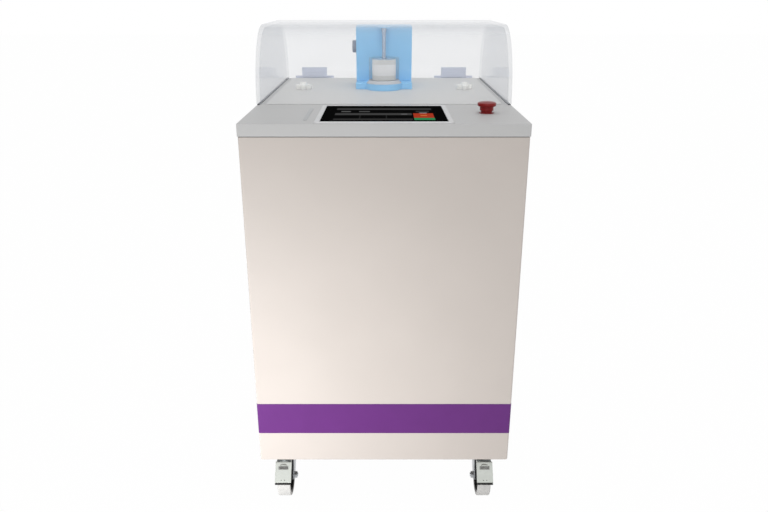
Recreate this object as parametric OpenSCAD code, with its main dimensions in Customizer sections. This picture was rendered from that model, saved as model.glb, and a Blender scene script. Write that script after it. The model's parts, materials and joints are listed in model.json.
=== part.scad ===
// Floor-standing electroporator: a sheet-steel cabinet on four swivel casters, with a touch
// screen and a stop button on its deck and a hinged clear hood over the treatment station.
// The cabinet's front faces -Y, +Z is up and the wheels stand on Z = 0.

/* [Cabinet] */
// Width of the top cover and the hood
cab_w = 600; // [570:10:640]
// Depth of the cabinet, front face to rear face
cab_d = 810; // [800:10:860]
// Height from the lower edge of the panels to the deck
cab_h = 812; // [780:4:880]
// Sheet thickness of the panels and the top cover
sheet = 2; // [1.5:0.5:3]
// Height of the top cover's folded lip
lip_h = 26; // [22:1:34]
// How far the panels stand in from the edge of the top cover
panel_inset = 1.5; // [1:0.5:3]
// Gap between neighbouring panels
seam = 1.5; // [1:0.5:3]
// Depth of the front panel's folded sides
front_return = 25; // [18:1:34]
// Outer radius of the front panel's folded edges
fold_r = 4; // [4:0.25:5]
// Width of the folded flanges round the side and rear panels
flange_w = 14; // [10:1:20]
// Radius of the top cover's upright corners
cover_corner_r = 2.5; // [2:0.5:6]
// Bevel round the top of the top cover
cover_bevel = 0.8; // [0.4:0.1:1.5]

/* [Colour band] */
// Height of the band
band_h = 80; // [50:5:120]
// Height of the band above the lower edge of the panels
band_rise = 77; // [40:1:140]
// Thickness of the band's film
band_t = 0.4; // [0.3:0.1:0.8]

/* [Welded frame] */
// Leg of the angle iron
angle_leg = 30; // [26:2:34]
// Thickness of the angle iron
angle_t = 3; // [2.5:0.5:4]
// Height of the equipment shelf above the bottom pan
shelf_rise = 370; // [300:10:460]
// Width of each shelf rail
rail_w = 60; // [40:5:80]
// Distance between the centres of the shelf rails
rail_pitch = 220; // [200:10:240]

/* [Deck plate] */
// How far the deck plate stands in from the sides of the cabinet
deck_plate_inset = 20; // [16:1:30]
// Thickness of the deck plate
deck_plate_t = 2; // [1.5:0.5:3]
// Gap between the deck plate and the hood's front and rear walls
deck_plate_gap = 4; // [3:1:8]
// Corner radius of the deck plate
deck_plate_r = 6; // [4:1:12]

/* [Touch screen] */
// Width of the glass
glass_w = 263; // [220:1:290]
// Depth of the glass
glass_d = 211; // [180:1:216]
// Thickness of the glass
glass_t = 2; // [1.5:0.5:2.5]
// Distance from the cabinet's front face to the glass
glass_front = 12.5; // [12:0.5:18]
// Width of the moulded frame round the glass
bezel_w = 11; // [8:0.5:11.5]
// Height of the moulded frame above the deck
bezel_h = 3; // [2:0.5:5]
// Corner radius of the moulded frame
bezel_r = 5; // [3:1:10]
// How far the housing stands in from the glass at its sides
housing_inset_w = 6; // [4:1:12]
// How far the housing stands in from the glass at its front and rear
housing_inset_d = 23; // [23:1:34]
// Depth of the housing below the deck
housing_h = 42; // [30:1:60]

/* [Status light] */
// Width of the light strip
status_w = 9; // [6:0.5:12]
// Length of the light strip
status_l = 161; // [120:1:180]
// Gap between the screen's frame and the light strip
status_gap = 18; // [17:1:34]
// Distance from the front face to the light strip
status_front = 42; // [30:1:50]
// Height of the light strip above the deck
status_h = 0.8; // [0.5:0.1:1.5]

/* [Stop button] */
// Distance from the cabinet's side to the button
stop_side = 74; // [65:1:85]
// Distance from the front face to the button
stop_y = 139; // [110:1:160]
// Diameter of the mushroom head
stop_head_d = 41; // [36:1:46]
// Diameter of the neck
stop_neck_d = 30; // [28:1:32]
// Height of the head's top above the deck
stop_h = 25; // [23:1:30]
// Height of the head
stop_head_h = 10; // [8:1:12]
// Wall of the neck
stop_neck_wall = 2.5; // [2:0.5:3]
// Diameter of the stem
stop_stem_d = 9; // [8:0.5:10]
// How far the button travels
stop_travel = 4; // [3:0.5:5]
// Outer diameter of the flange on the deck
stop_flange_d = 33; // [32.5:0.5:36]
// Thickness of the flange on the deck
stop_flange_t = 1.5; // [1:0.5:2]
// Side of the contact block below the deck
contact_w = 34; // [30:1:40]
// Height of the contact block
contact_h = 36; // [30:1:50]
// Distance from the deck to the contact block
contact_drop = 12; // [10:1:16]

/* [Hood] */
// Distance from the cabinet's front face to the hood
hood_front = 252; // [248:1:262]
// Depth of the hood at the deck
hood_d = 559; // [540:1:559]
// Height of the hood above the deck
hood_h = 175.5; // [175.5:0.5:200]
// Run of the curved front and rear, as a share of the hood's depth
hood_curve_share = 0.2576; // [0.2:0.0001:0.35]
// Fullness of the curve, where 2 is an ellipse
hood_fullness = 2.05; // [2:0.05:2.3]
// Thickness of the bent sheet
hood_sheet = 6; // [5:0.5:6]
// Thickness of the cheeks
cheek_t = 8; // [6:0.5:10]
// Height of the seal under the cheeks
seal_h = 2; // [1.5:0.5:3]

/* [Hood hinges] */
// Distance from the cabinet's side to the middle of each hinge
hinge_side = 86; // [76:2:150]
// Width of the leaf on the hood
hood_leaf_w = 77; // [60:1:90]
// Height of the leaf on the hood
hood_leaf_h = 30; // [24:1:40]
// Width of each knuckle on the cabinet's side
base_knuckle_w = 20; // [14:1:26]
// Radius of the knuckles
knuckle_r = 5; // [4.5:0.5:6]
// Radius of the hinge pin
hinge_pin_r = 2; // [1.5:0.5:2.5]
// Height of the pin's axis above the deck
hinge_rise = 2; // [2:0.5:3]
// Thickness of the leaves
leaf_t = 3; // [2.5:0.5:3.5]
// Height of the leaf on the cabinet
base_leaf_h = 20; // [16:1:21]

/* [Clamp knobs] */
// Distance from the cabinet's side to each clamp knob
clamp_side = 82; // [60:1:110]
// Width across the lobes
clamp_d = 43; // [36:1:50]
// Height of the knob above the deck plate
clamp_h = 19; // [16:1:24]
// Height of the lobes
lobe_h = 12; // [10:1:14]
// Radius of each lobe
lobe_r = 7.5; // [6:0.5:9]
// Radius of the knob's hub
clamp_hub_r = 9; // [8:0.5:11]
// Radius of the knob's stud
stud_r = 4; // [3:0.5:5]
// Length of the stud below the deck
stud_drop = 14; // [10:1:18]

/* [Station] */
// Width of the station
station_w = 152; // [140:2:170]
// Height of the station's base above the deck
station_base_h = 19; // [16:1:22]
// How far the base stands out in front of the chamber's middle
base_lead = 5; // [0:1:20]
// Distance from the chamber's middle to the column
column_gap = 49; // [46:1:60]
// Depth of the column
column_d = 100; // [90:2:110]
// Wall of the column
column_wall = 4; // [3:0.5:6]
// Height of the column's top above the deck
column_top = 160; // [158:0.5:160]
// Height of the column's guide plate below its top
guide_drop = 14; // [12:1:16]
// Thickness of the column's guide plate
guide_t = 6; // [4:1:8]
// Radius of the half-round nose
nose_r = 47.5; // [46:0.5:48]

/* [Treatment chamber] */
// Height of the conical collar
collar_h = 8; // [6:0.5:12]
// Outer radius of the clear sleeve
sleeve_r = 40.5; // [38:0.5:42]
// Wall of the clear sleeve
sleeve_wall = 8; // [6:0.5:8.5]
// Height of the clear sleeve
sleeve_h = 58; // [56:0.5:58]
// Gap between the sleeve and the electrodes
sleeve_fit = 0.4; // [0.2:0.1:0.8]
// Height of the lower electrode
lower_h = 13; // [10:0.5:16]
// Height of the insulating ring
ring_h = 28.5; // [24:0.5:28.5]
// Height of the upper electrode
upper_h = 12.5; // [10:0.5:12.5]
// Inner radius of the insulating ring
ring_bore_r = 25; // [20:0.5:26]
// Depth of each electrode's spigot in the ring
spigot_h = 3; // [2:0.5:4]
// Radius of the lower electrode's stem
stem_r = 12; // [8:0.5:16]

/* [Electrode lift] */
// Radius of the electrode rod
rod_r = 5; // [4:0.5:6]
// Radius of the rod's shoulder
shoulder_r = 6.5; // [6.5:0.5:8]
// Height of the rod's shoulder
shoulder_h = 10; // [8:1:14]
// Thickness of the head plate
head_t = 3; // [2:0.5:3]
// Width of the head plate's tab over the rod
tab_w = 30; // [24:1:40]
// How far the tab reaches past the rod
tab_lead = 11; // [9:1:16]
// How far the knob lifts the rod
lift_travel = 5; // [4.5:0.25:5]
// Height of the lift shaft above the deck
shaft_rise = 107; // [100:1:112]
// Radius of the lift shaft
shaft_r = 4; // [3:0.5:5]
// Smallest radius of the lift cam
cam_r = 12; // [10:0.5:14]
// Width of the lift cam
cam_w = 12; // [8:1:16]
// Radius of the carriage's follower
follower_r = 2; // [1.5:0.5:3]
// Width of the carriage's post
post_w = 16; // [14:1:20]
// Depth of the carriage's post
post_d = 10; // [8:1:14]
// Radius of the lift knob
lift_knob_r = 16.5; // [14:0.5:20]
// Length of the lift knob
lift_knob_l = 12; // [10:1:16]
// Length of the shaft's bearing at the right wall
bearing_l = 12; // [8:1:16]

/* [Casters] */
// Diameter of the wheel
wheel_d = 100; // [98:1:102]
// Width of the tread
wheel_w = 32; // [28:1:36]
// Height of the caster, floor to mounting face
caster_h = 128; // [128:1:134]
// Distance from the cabinet's side to the swivel axis
caster_side = 54; // [52:1:62]
// Distance from the front face to the front swivel axis
caster_front = 86; // [84:1:100]
// Distance from the rear face to the rear swivel axis
caster_rear = 88; // [76:1:110]
// Distance from the swivel axis to the wheel's axle
trail = 38; // [36:1:40]
// Thickness of the tread
tread_t = 7; // [5:0.5:10]
// Gap between the wheel and each fork leg
wheel_gap = 2; // [1.5:0.5:3]
// Thickness of the fork's legs
leg_t = 3.5; // [3:0.5:4]
// Radius of the fork's leg round the axle
leg_eye_r = 13; // [11:0.5:15]
// Radius of the axle bolt
axle_r = 5; // [4:0.5:6]
// Radius of the bolt's head and nut, across corners
nut_r = 9; // [8:0.5:10]
// Height of the bolt's head and nut
nut_h = 6; // [5:0.5:7]
// Width of the top plate
plate_w = 92; // [84:2:96]
// Depth of the top plate
plate_d = 84; // [76:2:92]
// Thickness of the top plate
plate_t = 4; // [3:0.5:5]
// Radius of the upper race
race_r = 30; // [28:0.5:32]
// Height of the upper race
race_h = 8; // [7:0.5:9]
// Thickness of the fork's crown
crown_t = 4; // [3:0.5:4]
// Radius of the kingpin
kingpin_r = 6; // [5:0.5:7]
// Distance between the wheel and the fork's crown
crown_gap = 8; // [8:0.5:9]

/* [Brake pedal] */
// Width of the pedal
pedal_w = 39; // [34:1:44]
// Thickness of the pedal's sheet
pedal_t = 3; // [2.5:0.5:3]
// How far the pedal's tip stands in front of the axle
pedal_reach = 63; // [62:0.5:66]
// Height of the pedal's tip above the axle
pedal_tip_rise = 17; // [14:0.5:20]
// Height of the rubber tip
pad_h = 6; // [5:0.5:8]
// Thickness of the rubber tip
pad_t = 5; // [4:0.5:6]
// Width of the pedal's slot
slot_w = 24; // [16:1:28]
// Height of the pedal's slot
slot_h = 8; // [6:0.5:10]
// Radius of the pedal's pivot
pivot_r = 2.5; // [2:0.25:3]

/* [Rear face] */
// Side of the fan's frame
fan_side = 119; // [92:1:130]
// Depth of the fan
fan_d = 38; // [32:1:38]
// Distance from the cabinet's side to the fan's axis
fan_edge = 150; // [120:1:180]
// Height of the fan above the lower edge of the panels
fan_rise = 640; // [560:5:680]
// Radius of the fan's hub
fan_hub_r = 21; // [18:0.5:26]
// Gap between the fan's blades and its frame
blade_gap = 2; // [1.5:0.5:4]
// Number of fan blades
blades = 7; // [5:1:9]
// Width of each ventilation slot
vent_w = 5; // [4:0.5:6]
// Distance between neighbouring slots
vent_pitch = 11; // [10:0.5:14]
// Height of the field of intake slots
intake_h = 90; // [60:5:120]
// Width of the field of intake slots
intake_w = 330; // [220:5:400]
// Height of the intake slots above the lower edge of the panels
intake_rise = 330; // [280:5:360]
// Distance from the cabinet's side to the middle of the mains inlet
inlet_edge = 130; // [100:5:180]
// Height of the mains inlet above the lower edge of the panels
inlet_rise = 110; // [90:5:160]
// Width of the mains inlet's flange
inlet_w = 50; // [48:1:60]
// Height of the mains inlet's flange
inlet_h = 74; // [70:1:84]
// Thickness of the mains inlet's flange
inlet_t = 2.5; // [2:0.5:3]
// Depth of the mains inlet behind its flange
inlet_depth = 34; // [32:1:50]
// Width of the plug's socket
socket_w = 28; // [26:0.5:30]
// Height of the plug's socket
socket_h = 20; // [18:0.5:22]
// Depth of the plug's socket
socket_depth = 20; // [18:0.5:22]
// Width of the rocker
rocker_w = 16; // [14:0.5:18]
// Height of the rocker
rocker_h = 22; // [18:0.5:24]
// Swing of the rocker, in degrees
rocker_swing = 12; // [8:1:14]

/* [Screws] */
// Radius of the rear panel's screws
screw_r = 2; // [1.5:0.25:2.5]
// Radius of the screws' heads
screw_head_r = 4; // [3.5:0.25:5]
// Height of the screws' heads
screw_head_h = 2; // [1.5:0.25:2.5]
// Radius of the casters' bolts
caster_bolt_r = 4; // [3:0.5:4.5]
// Distance from the panel's lower and upper edges to the nearest rear screws
screw_margin = 60; // [40:5:90]
// Distance from the edge of the top plate to each caster bolt
caster_bolt_edge = 11; // [9:1:13]

/* [Inside the cabinet] */
// Width of a capacitor
cap_w = 96; // [80:2:110]
// Depth of a capacitor
cap_d = 150; // [120:5:180]
// Height of a capacitor
cap_h = 210; // [160:5:240]
// Distance between capacitors
cap_gap = 12; // [8:1:20]
// Number of capacitors
caps = 4; // [2:1:4]
// Distance from the front face to the capacitors
cap_front = 134; // [134:2:180]
// Radius of a capacitor's terminal
terminal_r = 7; // [5:0.5:9]
// Height of a capacitor's terminal
terminal_h = 22; // [15:1:30]
// Width of the transformer's core
core_w = 190; // [160:5:220]
// Depth of the transformer's core
core_d = 80; // [60:5:100]
// Height of the transformer's core
core_h = 170; // [140:5:200]
// Width of the core's outer limbs and yokes
core_limb = 28; // [22:1:34]
// Distance from the front face to the transformer
core_front = 430; // [400:5:480]
// Thickness of the windings round the middle limb
coil_wall = 16; // [10:1:20]
// Width of the charging supply
supply_w = 280; // [240:5:300]
// Depth of the charging supply
supply_d = 230; // [180:5:260]
// Height of the charging supply
supply_h = 120; // [90:5:150]
// Distance from the front face to the charging supply
supply_front = 470; // [440:5:500]
// Width of the switch stack
switch_w = 270; // [240:5:290]
// Depth of the switch stack
switch_d = 150; // [120:5:180]
// Height of the switch stack's cooling fins
fin_h = 60; // [40:2:80]
// Thickness of a cooling fin
fin_t = 3; // [2:0.5:4]
// Number of cooling fins
fins = 12; // [8:1:14]
// Distance from the front face to the switch stack
switch_front = 70; // [60:5:90]
// Distance from the front face to the control board
board_front = 275; // [270:5:290]
// Width of the control board
board_w = 240; // [232:2:280]
// Depth of the control board
board_d = 150; // [120:5:160]
// Length of the control board's standoffs
standoff_h = 12; // [8:1:20]
// Width of the interlock switch
interlock_w = 18; // [14:1:24]
// Length of the interlock switch
interlock_l = 40; // [30:1:50]

/* [Hidden] */
$fn = 64;

// Colours
cover_grey = [0.80, 0.80, 0.80];
panel_white = [0.90, 0.88, 0.86];
band_purple = [0.47, 0.24, 0.55];
station_blue = [0.53, 0.73, 0.91];
frame_grey = [0.45, 0.47, 0.50];
black = [0.08, 0.08, 0.09];
steel = [0.75, 0.76, 0.78];
clear = [0.85, 0.88, 0.92, 0.35];
stop_red = [0.70, 0.05, 0.05];
hinge_lilac = [0.80, 0.82, 0.87];

// Fits
eps = 0.01;            // overlap that joins two volumes of one piece
seat_gap = 0.3;        // gap between a piece and what carries it
run_gap = 0.05;        // radial clearance of a pin or shaft that turns
slide_gap = 0.3;       // clearance round a piece that slides
nut_seat = 0.1;        // gap under a bolt's head or nut
cut = 1;               // how far a cutting tool passes the face it cuts
glass_drop = 0.2;      // how far the screen lies below its frame's rim
hinge_clear = 2;       // gap between the knuckles and the faces in front of them

// Heights
deck_z = caster_h + cab_h;
lip_z = deck_z - lip_h;
panel_top = lip_z - seam;
pan_z = caster_h;
frame_z = pan_z + sheet + seat_gap;
shelf_z = pan_z + shelf_rise;
plate_top_z = deck_z + deck_plate_t;
hood_z = deck_z + seal_h + seat_gap;
axle_z = wheel_d / 2;

// Depths, with the origin in the middle of the whole outline
knuckle_back = knuckle_r + hinge_clear;
hinge_y_rel = max(hood_front + hood_d, cab_d) + knuckle_back;
rear_out = hinge_y_rel + knuckle_r - cab_d;
pivot_back = 14;       // pedal's pivot, behind the axle
pivot_rise = 4;        // pedal's pivot, above the wheel
knee_lead = 16;        // bend over the wheel, in front of the axle
brow_lead = 30;        // bend at the head of the pedal's face, in front of the axle
pivot_y = -trail + pivot_back;
pivot_z = wheel_d + pivot_rise;
pedal_knee = [-trail - knee_lead, pivot_z + nut_h / 12];
pedal_brow = [-trail - brow_lead, pivot_z + pivot_rise];
pedal_tip = [-trail - pedal_reach, wheel_d / 2 + pedal_tip_rise];
pedal_dir = (pedal_tip - pedal_brow) / norm(pedal_tip - pedal_brow);
pedal_front = -(pedal_tip + pedal_dir * nut_seat)[0] - pedal_dir[1] * pad_t / 2;
front_out = max(pedal_front - caster_front, band_t);
y_front = front_out - (cab_d + rear_out + front_out) / 2;
y_rear = y_front + cab_d;
hinge_y = y_front + hinge_y_rel;
hinge_z = deck_z + hinge_rise;
hood_y0 = y_front + hood_front;
hood_y1 = hood_y0 + hood_d;

// Widths
panel_w = cab_w - 2 * panel_inset;
fold_clear = 0.75 * (fold_r - sheet);   // gap that keeps the frame's edges out of the panel's folds
frame_w = panel_w - 2 * sheet - 2 * fold_clear;
frame_y0 = y_front + sheet + fold_clear;
frame_y1 = y_rear - sheet - seat_gap;

// Places
hood_curve_run = hood_curve_share * hood_d;
chamber_yy = hood_y0 + hood_d / 2;
stop_x = cab_w / 2 - stop_side;
status_x = glass_w / 2 + bezel_w + status_gap + status_w / 2;
hinge_x = cab_w / 2 - hinge_side;
clamp_x = cab_w / 2 - clamp_side;
fan_x = cab_w / 2 - fan_edge;
inlet_x = cab_w / 2 - inlet_edge;
base_z = plate_top_z;
collar_z = deck_z + station_base_h;
stack_z = collar_z + collar_h;
ring_z = stack_z + lower_h;
upper_z = ring_z + ring_h;
stack_top = upper_z + upper_h;
column_y0 = chamber_yy + column_gap;
column_y1 = column_y0 + column_d;
column_z1 = deck_z + column_top;
shaft_z = deck_z + shaft_rise;
shaft_y = (column_y0 + column_y1) / 2;
head_z = column_z1 + seat_gap;
sleeve_bore = sleeve_r - sleeve_wall;
electrode_r = sleeve_bore - sleeve_fit;
stop_yy = y_front + stop_y;
glass_y0 = y_front + glass_front;
glass_yc = glass_y0 + glass_d / 2;
housing_w = glass_w - 2 * housing_inset_w;
housing_d = glass_d - 2 * housing_inset_d;
fork_inner = wheel_w + 2 * wheel_gap;
fork_outer = fork_inner + 2 * leg_t;
crown_z = wheel_d + crown_gap;
race_z = caster_h - plate_t - race_h;
kingpin_head_h = 4;
kingpin_head_r = kingpin_r + 3.5;
caster_bolt_head_h = 5;
caster_x = cab_w / 2 - caster_side;
front_caster_y = y_front + caster_front;
rear_caster_y = y_rear - caster_rear;
hub_r = wheel_d / 2 - tread_t;
fan_z = pan_z + fan_rise;
inlet_z = pan_z + inlet_rise;
fan_rim = 3;
fan_bore_r = fan_side / 2 - fan_rim;
fan_web_t = 4;         // thickness of the fan's rear web, hub plate and arms
fan_shaft_r = 3;
barrel_r = stop_neck_d / 2 - stop_neck_wall - slide_gap;
neck_z = deck_z + stop_flange_t + stop_travel + slide_gap;
head_foot = deck_z + stop_h - stop_head_h;
shaft_seat = 8;        // depth of the lift knob's socket on the shaft
inlet_body_w = inlet_w - 6;
inlet_body_h = inlet_h - 8;
socket_z = inlet_z - inlet_body_h / 2 + 5 + socket_h / 2;
rocker_z = inlet_z + inlet_body_h / 2 - 6 - rocker_h / 2;
rocker_depth = 8;      // rocker's pivot, behind the flange's face
rocker_pin_r = 1.5;
rocker_y = y_rear + inlet_t - rocker_depth;

// Points of the rear panel's screws, as [x, z]
screw_edge = panel_w / 2 - sheet - angle_leg / 2;
rear_screws = [for (sx = [-1, 1], k = [0 : 3])
    [sx * screw_edge, pan_z + screw_margin + k * (panel_top - pan_z - 2 * screw_margin) / 3]];

// Places of the four casters, as [x, y]
casters = [[-caster_x, front_caster_y], [caster_x, front_caster_y],
    [-caster_x, rear_caster_y], [caster_x, rear_caster_y]];

// A box from its lowest corner and its size
module block(p, s) {
    translate(p) cube(s);
}

// A box centred on X and on Y = yc, from its foot
module slab(w, d, h, yc, z) {
    translate([-w / 2, yc - d / 2, z]) cube([w, d, h]);
}

// Turns an outline drawn as [y, z] into a solid along X, centred on X = 0
module along_x(len) {
    rotate([90, 0, 90]) translate([0, 0, -len / 2]) linear_extrude(len) children();
}

// A straight bar between two points of an outline, with round ends
module strip(p, q, t) {
    hull() {
        translate(p) circle(d = t);
        translate(q) circle(d = t);
    }
}

// A rectangle with round corners, centred
module round_rect(w, d, r) {
    square([w - 2 * r, d], center = true);
    square([w, d - 2 * r], center = true);
    for (sx = [-1, 1], sy = [-1, 1]) translate([sx * (w / 2 - r), sy * (d / 2 - r)]) circle(r);
}

// A hexagonal head or nut along X, from x towards +X
module hex_x(x, r, h) {
    translate([x, 0, 0]) rotate([0, 90, 0]) cylinder(h = h, r = r, $fn = 6);
}

// Angle-iron ring round the cabinet, its flat flange at z, its upright flange up (1) or down (-1)
module angle_ring(z, up) {
    d = frame_y1 - frame_y0;
    yc = (frame_y0 + frame_y1) / 2;
    difference() {
        slab(frame_w, d, angle_t, yc, up > 0 ? z : z - angle_t);
        slab(frame_w - 2 * angle_leg, d - 2 * angle_leg, angle_t + 2 * cut, yc, (up > 0 ? z : z - angle_t) - cut);
    }
    difference() {
        slab(frame_w, d, angle_leg, yc, up > 0 ? z : z - angle_leg);
        slab(frame_w - 2 * angle_t, d - 2 * angle_t, angle_leg + 2 * cut, yc, (up > 0 ? z : z - angle_leg) - cut);
    }
}

// Corner post, an angle iron with its legs along the two outer faces
module corner_post(sx, y, sy) {
    h = deck_z - sheet - seat_gap - frame_z;
    x = sx * frame_w / 2;
    translate([sx > 0 ? x - angle_leg : x, sy > 0 ? y - angle_t : y, frame_z]) cube([angle_leg, angle_t, h]);
    translate([sx > 0 ? x - angle_t : x, sy > 0 ? y - angle_leg : y, frame_z]) cube([angle_t, angle_leg, h]);
}

module welded_frame() {
    color(frame_grey) difference() {
        union() {
            angle_ring(frame_z, 1);
            angle_ring(deck_z - sheet - seat_gap, -1);
            angle_ring(shelf_z, -1);
            for (sx = [-1, 1]) {
                corner_post(sx, frame_y0, -1);
                corner_post(sx, frame_y1, 1);
                translate([sx * rail_pitch / 2 - rail_w / 2, frame_y0 + eps, shelf_z - angle_t])
                    cube([rail_w, frame_y1 - frame_y0 - 2 * eps, angle_t]);
            }
            for (c = casters)
                intersection() {
                    translate([c[0] - plate_w / 2 - angle_t, c[1] - plate_d / 2 - angle_t, frame_z])
                        cube([plate_w + 2 * angle_t, plate_d + 2 * angle_t, angle_t]);
                    slab(frame_w, frame_y1 - frame_y0, angle_t, (frame_y0 + frame_y1) / 2, frame_z);
                }
        }
        for (c = casters) caster_bolt_holes(c, frame_z - cut, angle_t + 2 * cut);
        for (p = rear_screws)
            translate([p[0], frame_y1 + cut, p[1]]) rotate([90, 0, 0])
                cylinder(h = angle_t + 2 * cut, r = screw_r + slide_gap);
    }
}

module caster_bolt_points() {
    for (sx = [-1, 1], sy = [-1, 1])
        translate([sx * (plate_w / 2 - caster_bolt_edge), sy * (plate_d / 2 - caster_bolt_edge), 0]) children();
}

module caster_bolt_holes(c, z, h) {
    translate([c[0], c[1], z]) caster_bolt_points() cylinder(h = h, r = caster_bolt_r + slide_gap);
}

module bottom_pan() {
    y0 = y_front + sheet + flange_w + seam;
    y1 = frame_y1;
    color(panel_white) difference() {
        slab(frame_w, y1 - y0, sheet, (y0 + y1) / 2, pan_z);
        for (c = casters) caster_bolt_holes(c, pan_z - cut, sheet + 2 * cut);
    }
}

// The front panel's outer form, with round upright and lower edges
module front_form() {
    x = panel_w / 2 - fold_r;
    z = pan_z + fold_r;
    hull() for (sx = [-1, 1]) {
        translate([sx * x, y_front + fold_r, z]) {
            sphere(fold_r, $fn = 32);
            cylinder(h = panel_top - z, r = fold_r, $fn = 32);
        }
        translate([sx * x, y_front + front_return, z]) rotate([90, 0, 0])
            cylinder(h = front_return - fold_r, r = fold_r, $fn = 32);
        translate([sx * (x + fold_r - cut) - cut, y_front + front_return - cut, panel_top - cut])
            cube([2 * cut, cut, cut]);
    }
}

module front_panel() {
    inner_r = fold_r - sheet;
    color(panel_white) difference() {
        front_form();
        hull() {
            for (sx = [-1, 1])
                translate([sx * (panel_w / 2 - fold_r), y_front + fold_r, pan_z + fold_r]) {
                    sphere(inner_r, $fn = 24);
                    cylinder(h = cab_h, r = inner_r, $fn = 24);
                }
            translate([-panel_w / 2 + sheet, y_front + front_return, pan_z + sheet])
                cube([panel_w - 2 * sheet, cut, cab_h]);
        }
        slab(panel_w - 2 * sheet, front_return, 3 * sheet, y_front + sheet + flange_w + front_return / 2, pan_z - sheet);
    }
}

module accent_band() {
    color(band_purple) translate([0, 0, pan_z + band_rise]) linear_extrude(band_h) difference() {
        band_outline(band_t, front_return);
        band_outline(eps, front_return + cut);
    }
}

// Plan of the front panel's face and folded sides, grown by g and d deep
module band_outline(g, d) {
    w = panel_w / 2 + g;
    r = fold_r + g;
    for (sx = [-1, 1]) translate([sx * (w - r), y_front - g + r]) circle(r);
    translate([-w + r, y_front - g]) square([2 * (w - r), r + d - fold_r]);
    translate([-w, y_front - g + r]) square([2 * w, d - fold_r]);
}

module side_panels() {
    y0 = y_front + front_return + seam;
    y1 = y_rear - sheet - seam / 2;
    color(panel_white) for (sx = [-1, 1])
        scale([sx, 1, 1]) difference() {
            translate([panel_w / 2 - flange_w, y0, pan_z]) cube([flange_w, y1 - y0, panel_top - pan_z]);
            translate([panel_w / 2 - flange_w - sheet, y0 + sheet, pan_z + sheet])
                cube([flange_w, y1 - y0 - 2 * sheet, panel_top - pan_z - 2 * sheet]);
            translate([frame_w / 2 - flange_w - cut, y0 - cut, pan_z - cut])
                cube([flange_w + cut + seat_gap, y1 - y0 + 2 * cut, panel_top - pan_z + 2 * cut]);
        }
}

module rear_panel() {
    color(panel_white) difference() {
        block([-panel_w / 2, y_rear - sheet, pan_z], [panel_w, sheet, panel_top - pan_z]);
        for (p = rear_screws)
            translate([p[0], y_rear + cut, p[1]]) rotate([90, 0, 0])
                cylinder(h = sheet + 2 * cut, r = screw_r + slide_gap);
        fan_grille();
        for (i = [0 : floor(intake_w / vent_pitch) - 1])
            block([-intake_w / 2 + i * vent_pitch, y_rear - sheet - cut, pan_z + intake_rise],
                [vent_w, sheet + 2 * cut, intake_h]);
        block([inlet_x - inlet_body_w / 2 - slide_gap, y_rear - sheet - cut, inlet_z - inlet_body_h / 2 - slide_gap],
            [inlet_body_w + 2 * slide_gap, sheet + 2 * cut, inlet_body_h + 2 * slide_gap]);
    }
}

// Slots of the fan's grille, each as long as the fan's circle is there
module fan_grille() {
    r = fan_bore_r - fan_rim;
    n = floor(r / vent_pitch);
    for (i = [-n : n]) {
        half = sqrt(max(r * r - pow(abs(i) * vent_pitch + vent_w / 2, 2), 1));
        block([fan_x + i * vent_pitch - vent_w / 2, y_rear - sheet - cut, fan_z - half], [vent_w, sheet + 2 * cut, 2 * half]);
    }
}

module top_cover() {
    yc = y_front + cab_d / 2;
    in_w = cab_w - 2 * sheet;
    in_d = cab_d - 2 * sheet;
    color(cover_grey) difference() {
        hull() for (sx = [-1, 1], sy = [-1, 1])
            translate([sx * (cab_w / 2 - cover_corner_r), yc + sy * (cab_d / 2 - cover_corner_r), lip_z]) {
                cylinder(h = lip_h - cover_bevel, r = cover_corner_r, $fn = 32);
                cylinder(h = lip_h, r = cover_corner_r - cover_bevel, $fn = 32);
            }
        slab(in_w, in_d, lip_h - sheet + cut, yc, lip_z - cut);
        slab(housing_w + 2 * slide_gap, housing_d + 2 * slide_gap, sheet + 2 * cut, glass_yc, deck_z - sheet - cut);
        translate([stop_x, stop_yy, deck_z - sheet - cut]) cylinder(h = sheet + 2 * cut, r = barrel_r + slide_gap);
        for (sx = [-1, 1])
            translate([sx * clamp_x, chamber_yy, deck_z - sheet - cut])
                cylinder(h = sheet + 2 * cut, r = stud_r + slide_gap);
    }
}

module deck_plate() {
    y0 = hood_y0 + hood_sheet + deck_plate_gap;
    y1 = hood_y1 - hood_sheet - deck_plate_gap;
    color(cover_grey) difference() {
        translate([0, (y0 + y1) / 2, deck_z]) linear_extrude(deck_plate_t)
            round_rect(cab_w - 2 * deck_plate_inset, y1 - y0, deck_plate_r);
        for (sx = [-1, 1])
            translate([sx * clamp_x, chamber_yy, deck_z - cut])
                cylinder(h = deck_plate_t + 2 * cut, r = stud_r + slide_gap);
    }
}

module hmi_housing() {
    color([0.82, 0.82, 0.83]) difference() {
        union() {
            translate([0, glass_yc, deck_z]) linear_extrude(bezel_h)
                round_rect(glass_w + 2 * bezel_w, glass_d + 2 * bezel_w, bezel_r);
            slab(housing_w, housing_d, housing_h + eps, glass_yc, deck_z - housing_h);
        }
        slab(glass_w + 2 * seat_gap, glass_d + 2 * seat_gap, glass_t + cut, glass_yc, deck_z + bezel_h - glass_t);
    }
}

module hmi_glass() {
    color(black) slab(glass_w, glass_d, glass_t - glass_drop, glass_yc, deck_z + bezel_h - glass_t);
}

module status_bar() {
    r = status_w / 2;
    color([0.86, 0.88, 0.90]) translate([-status_x, y_front + status_front + status_l / 2, deck_z])
        linear_extrude(status_h) {
            square([status_w, status_l - 2 * r], center = true);
            for (s = [-1, 1]) translate([0, s * (status_l / 2 - r)]) circle(r);
        }
}

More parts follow.
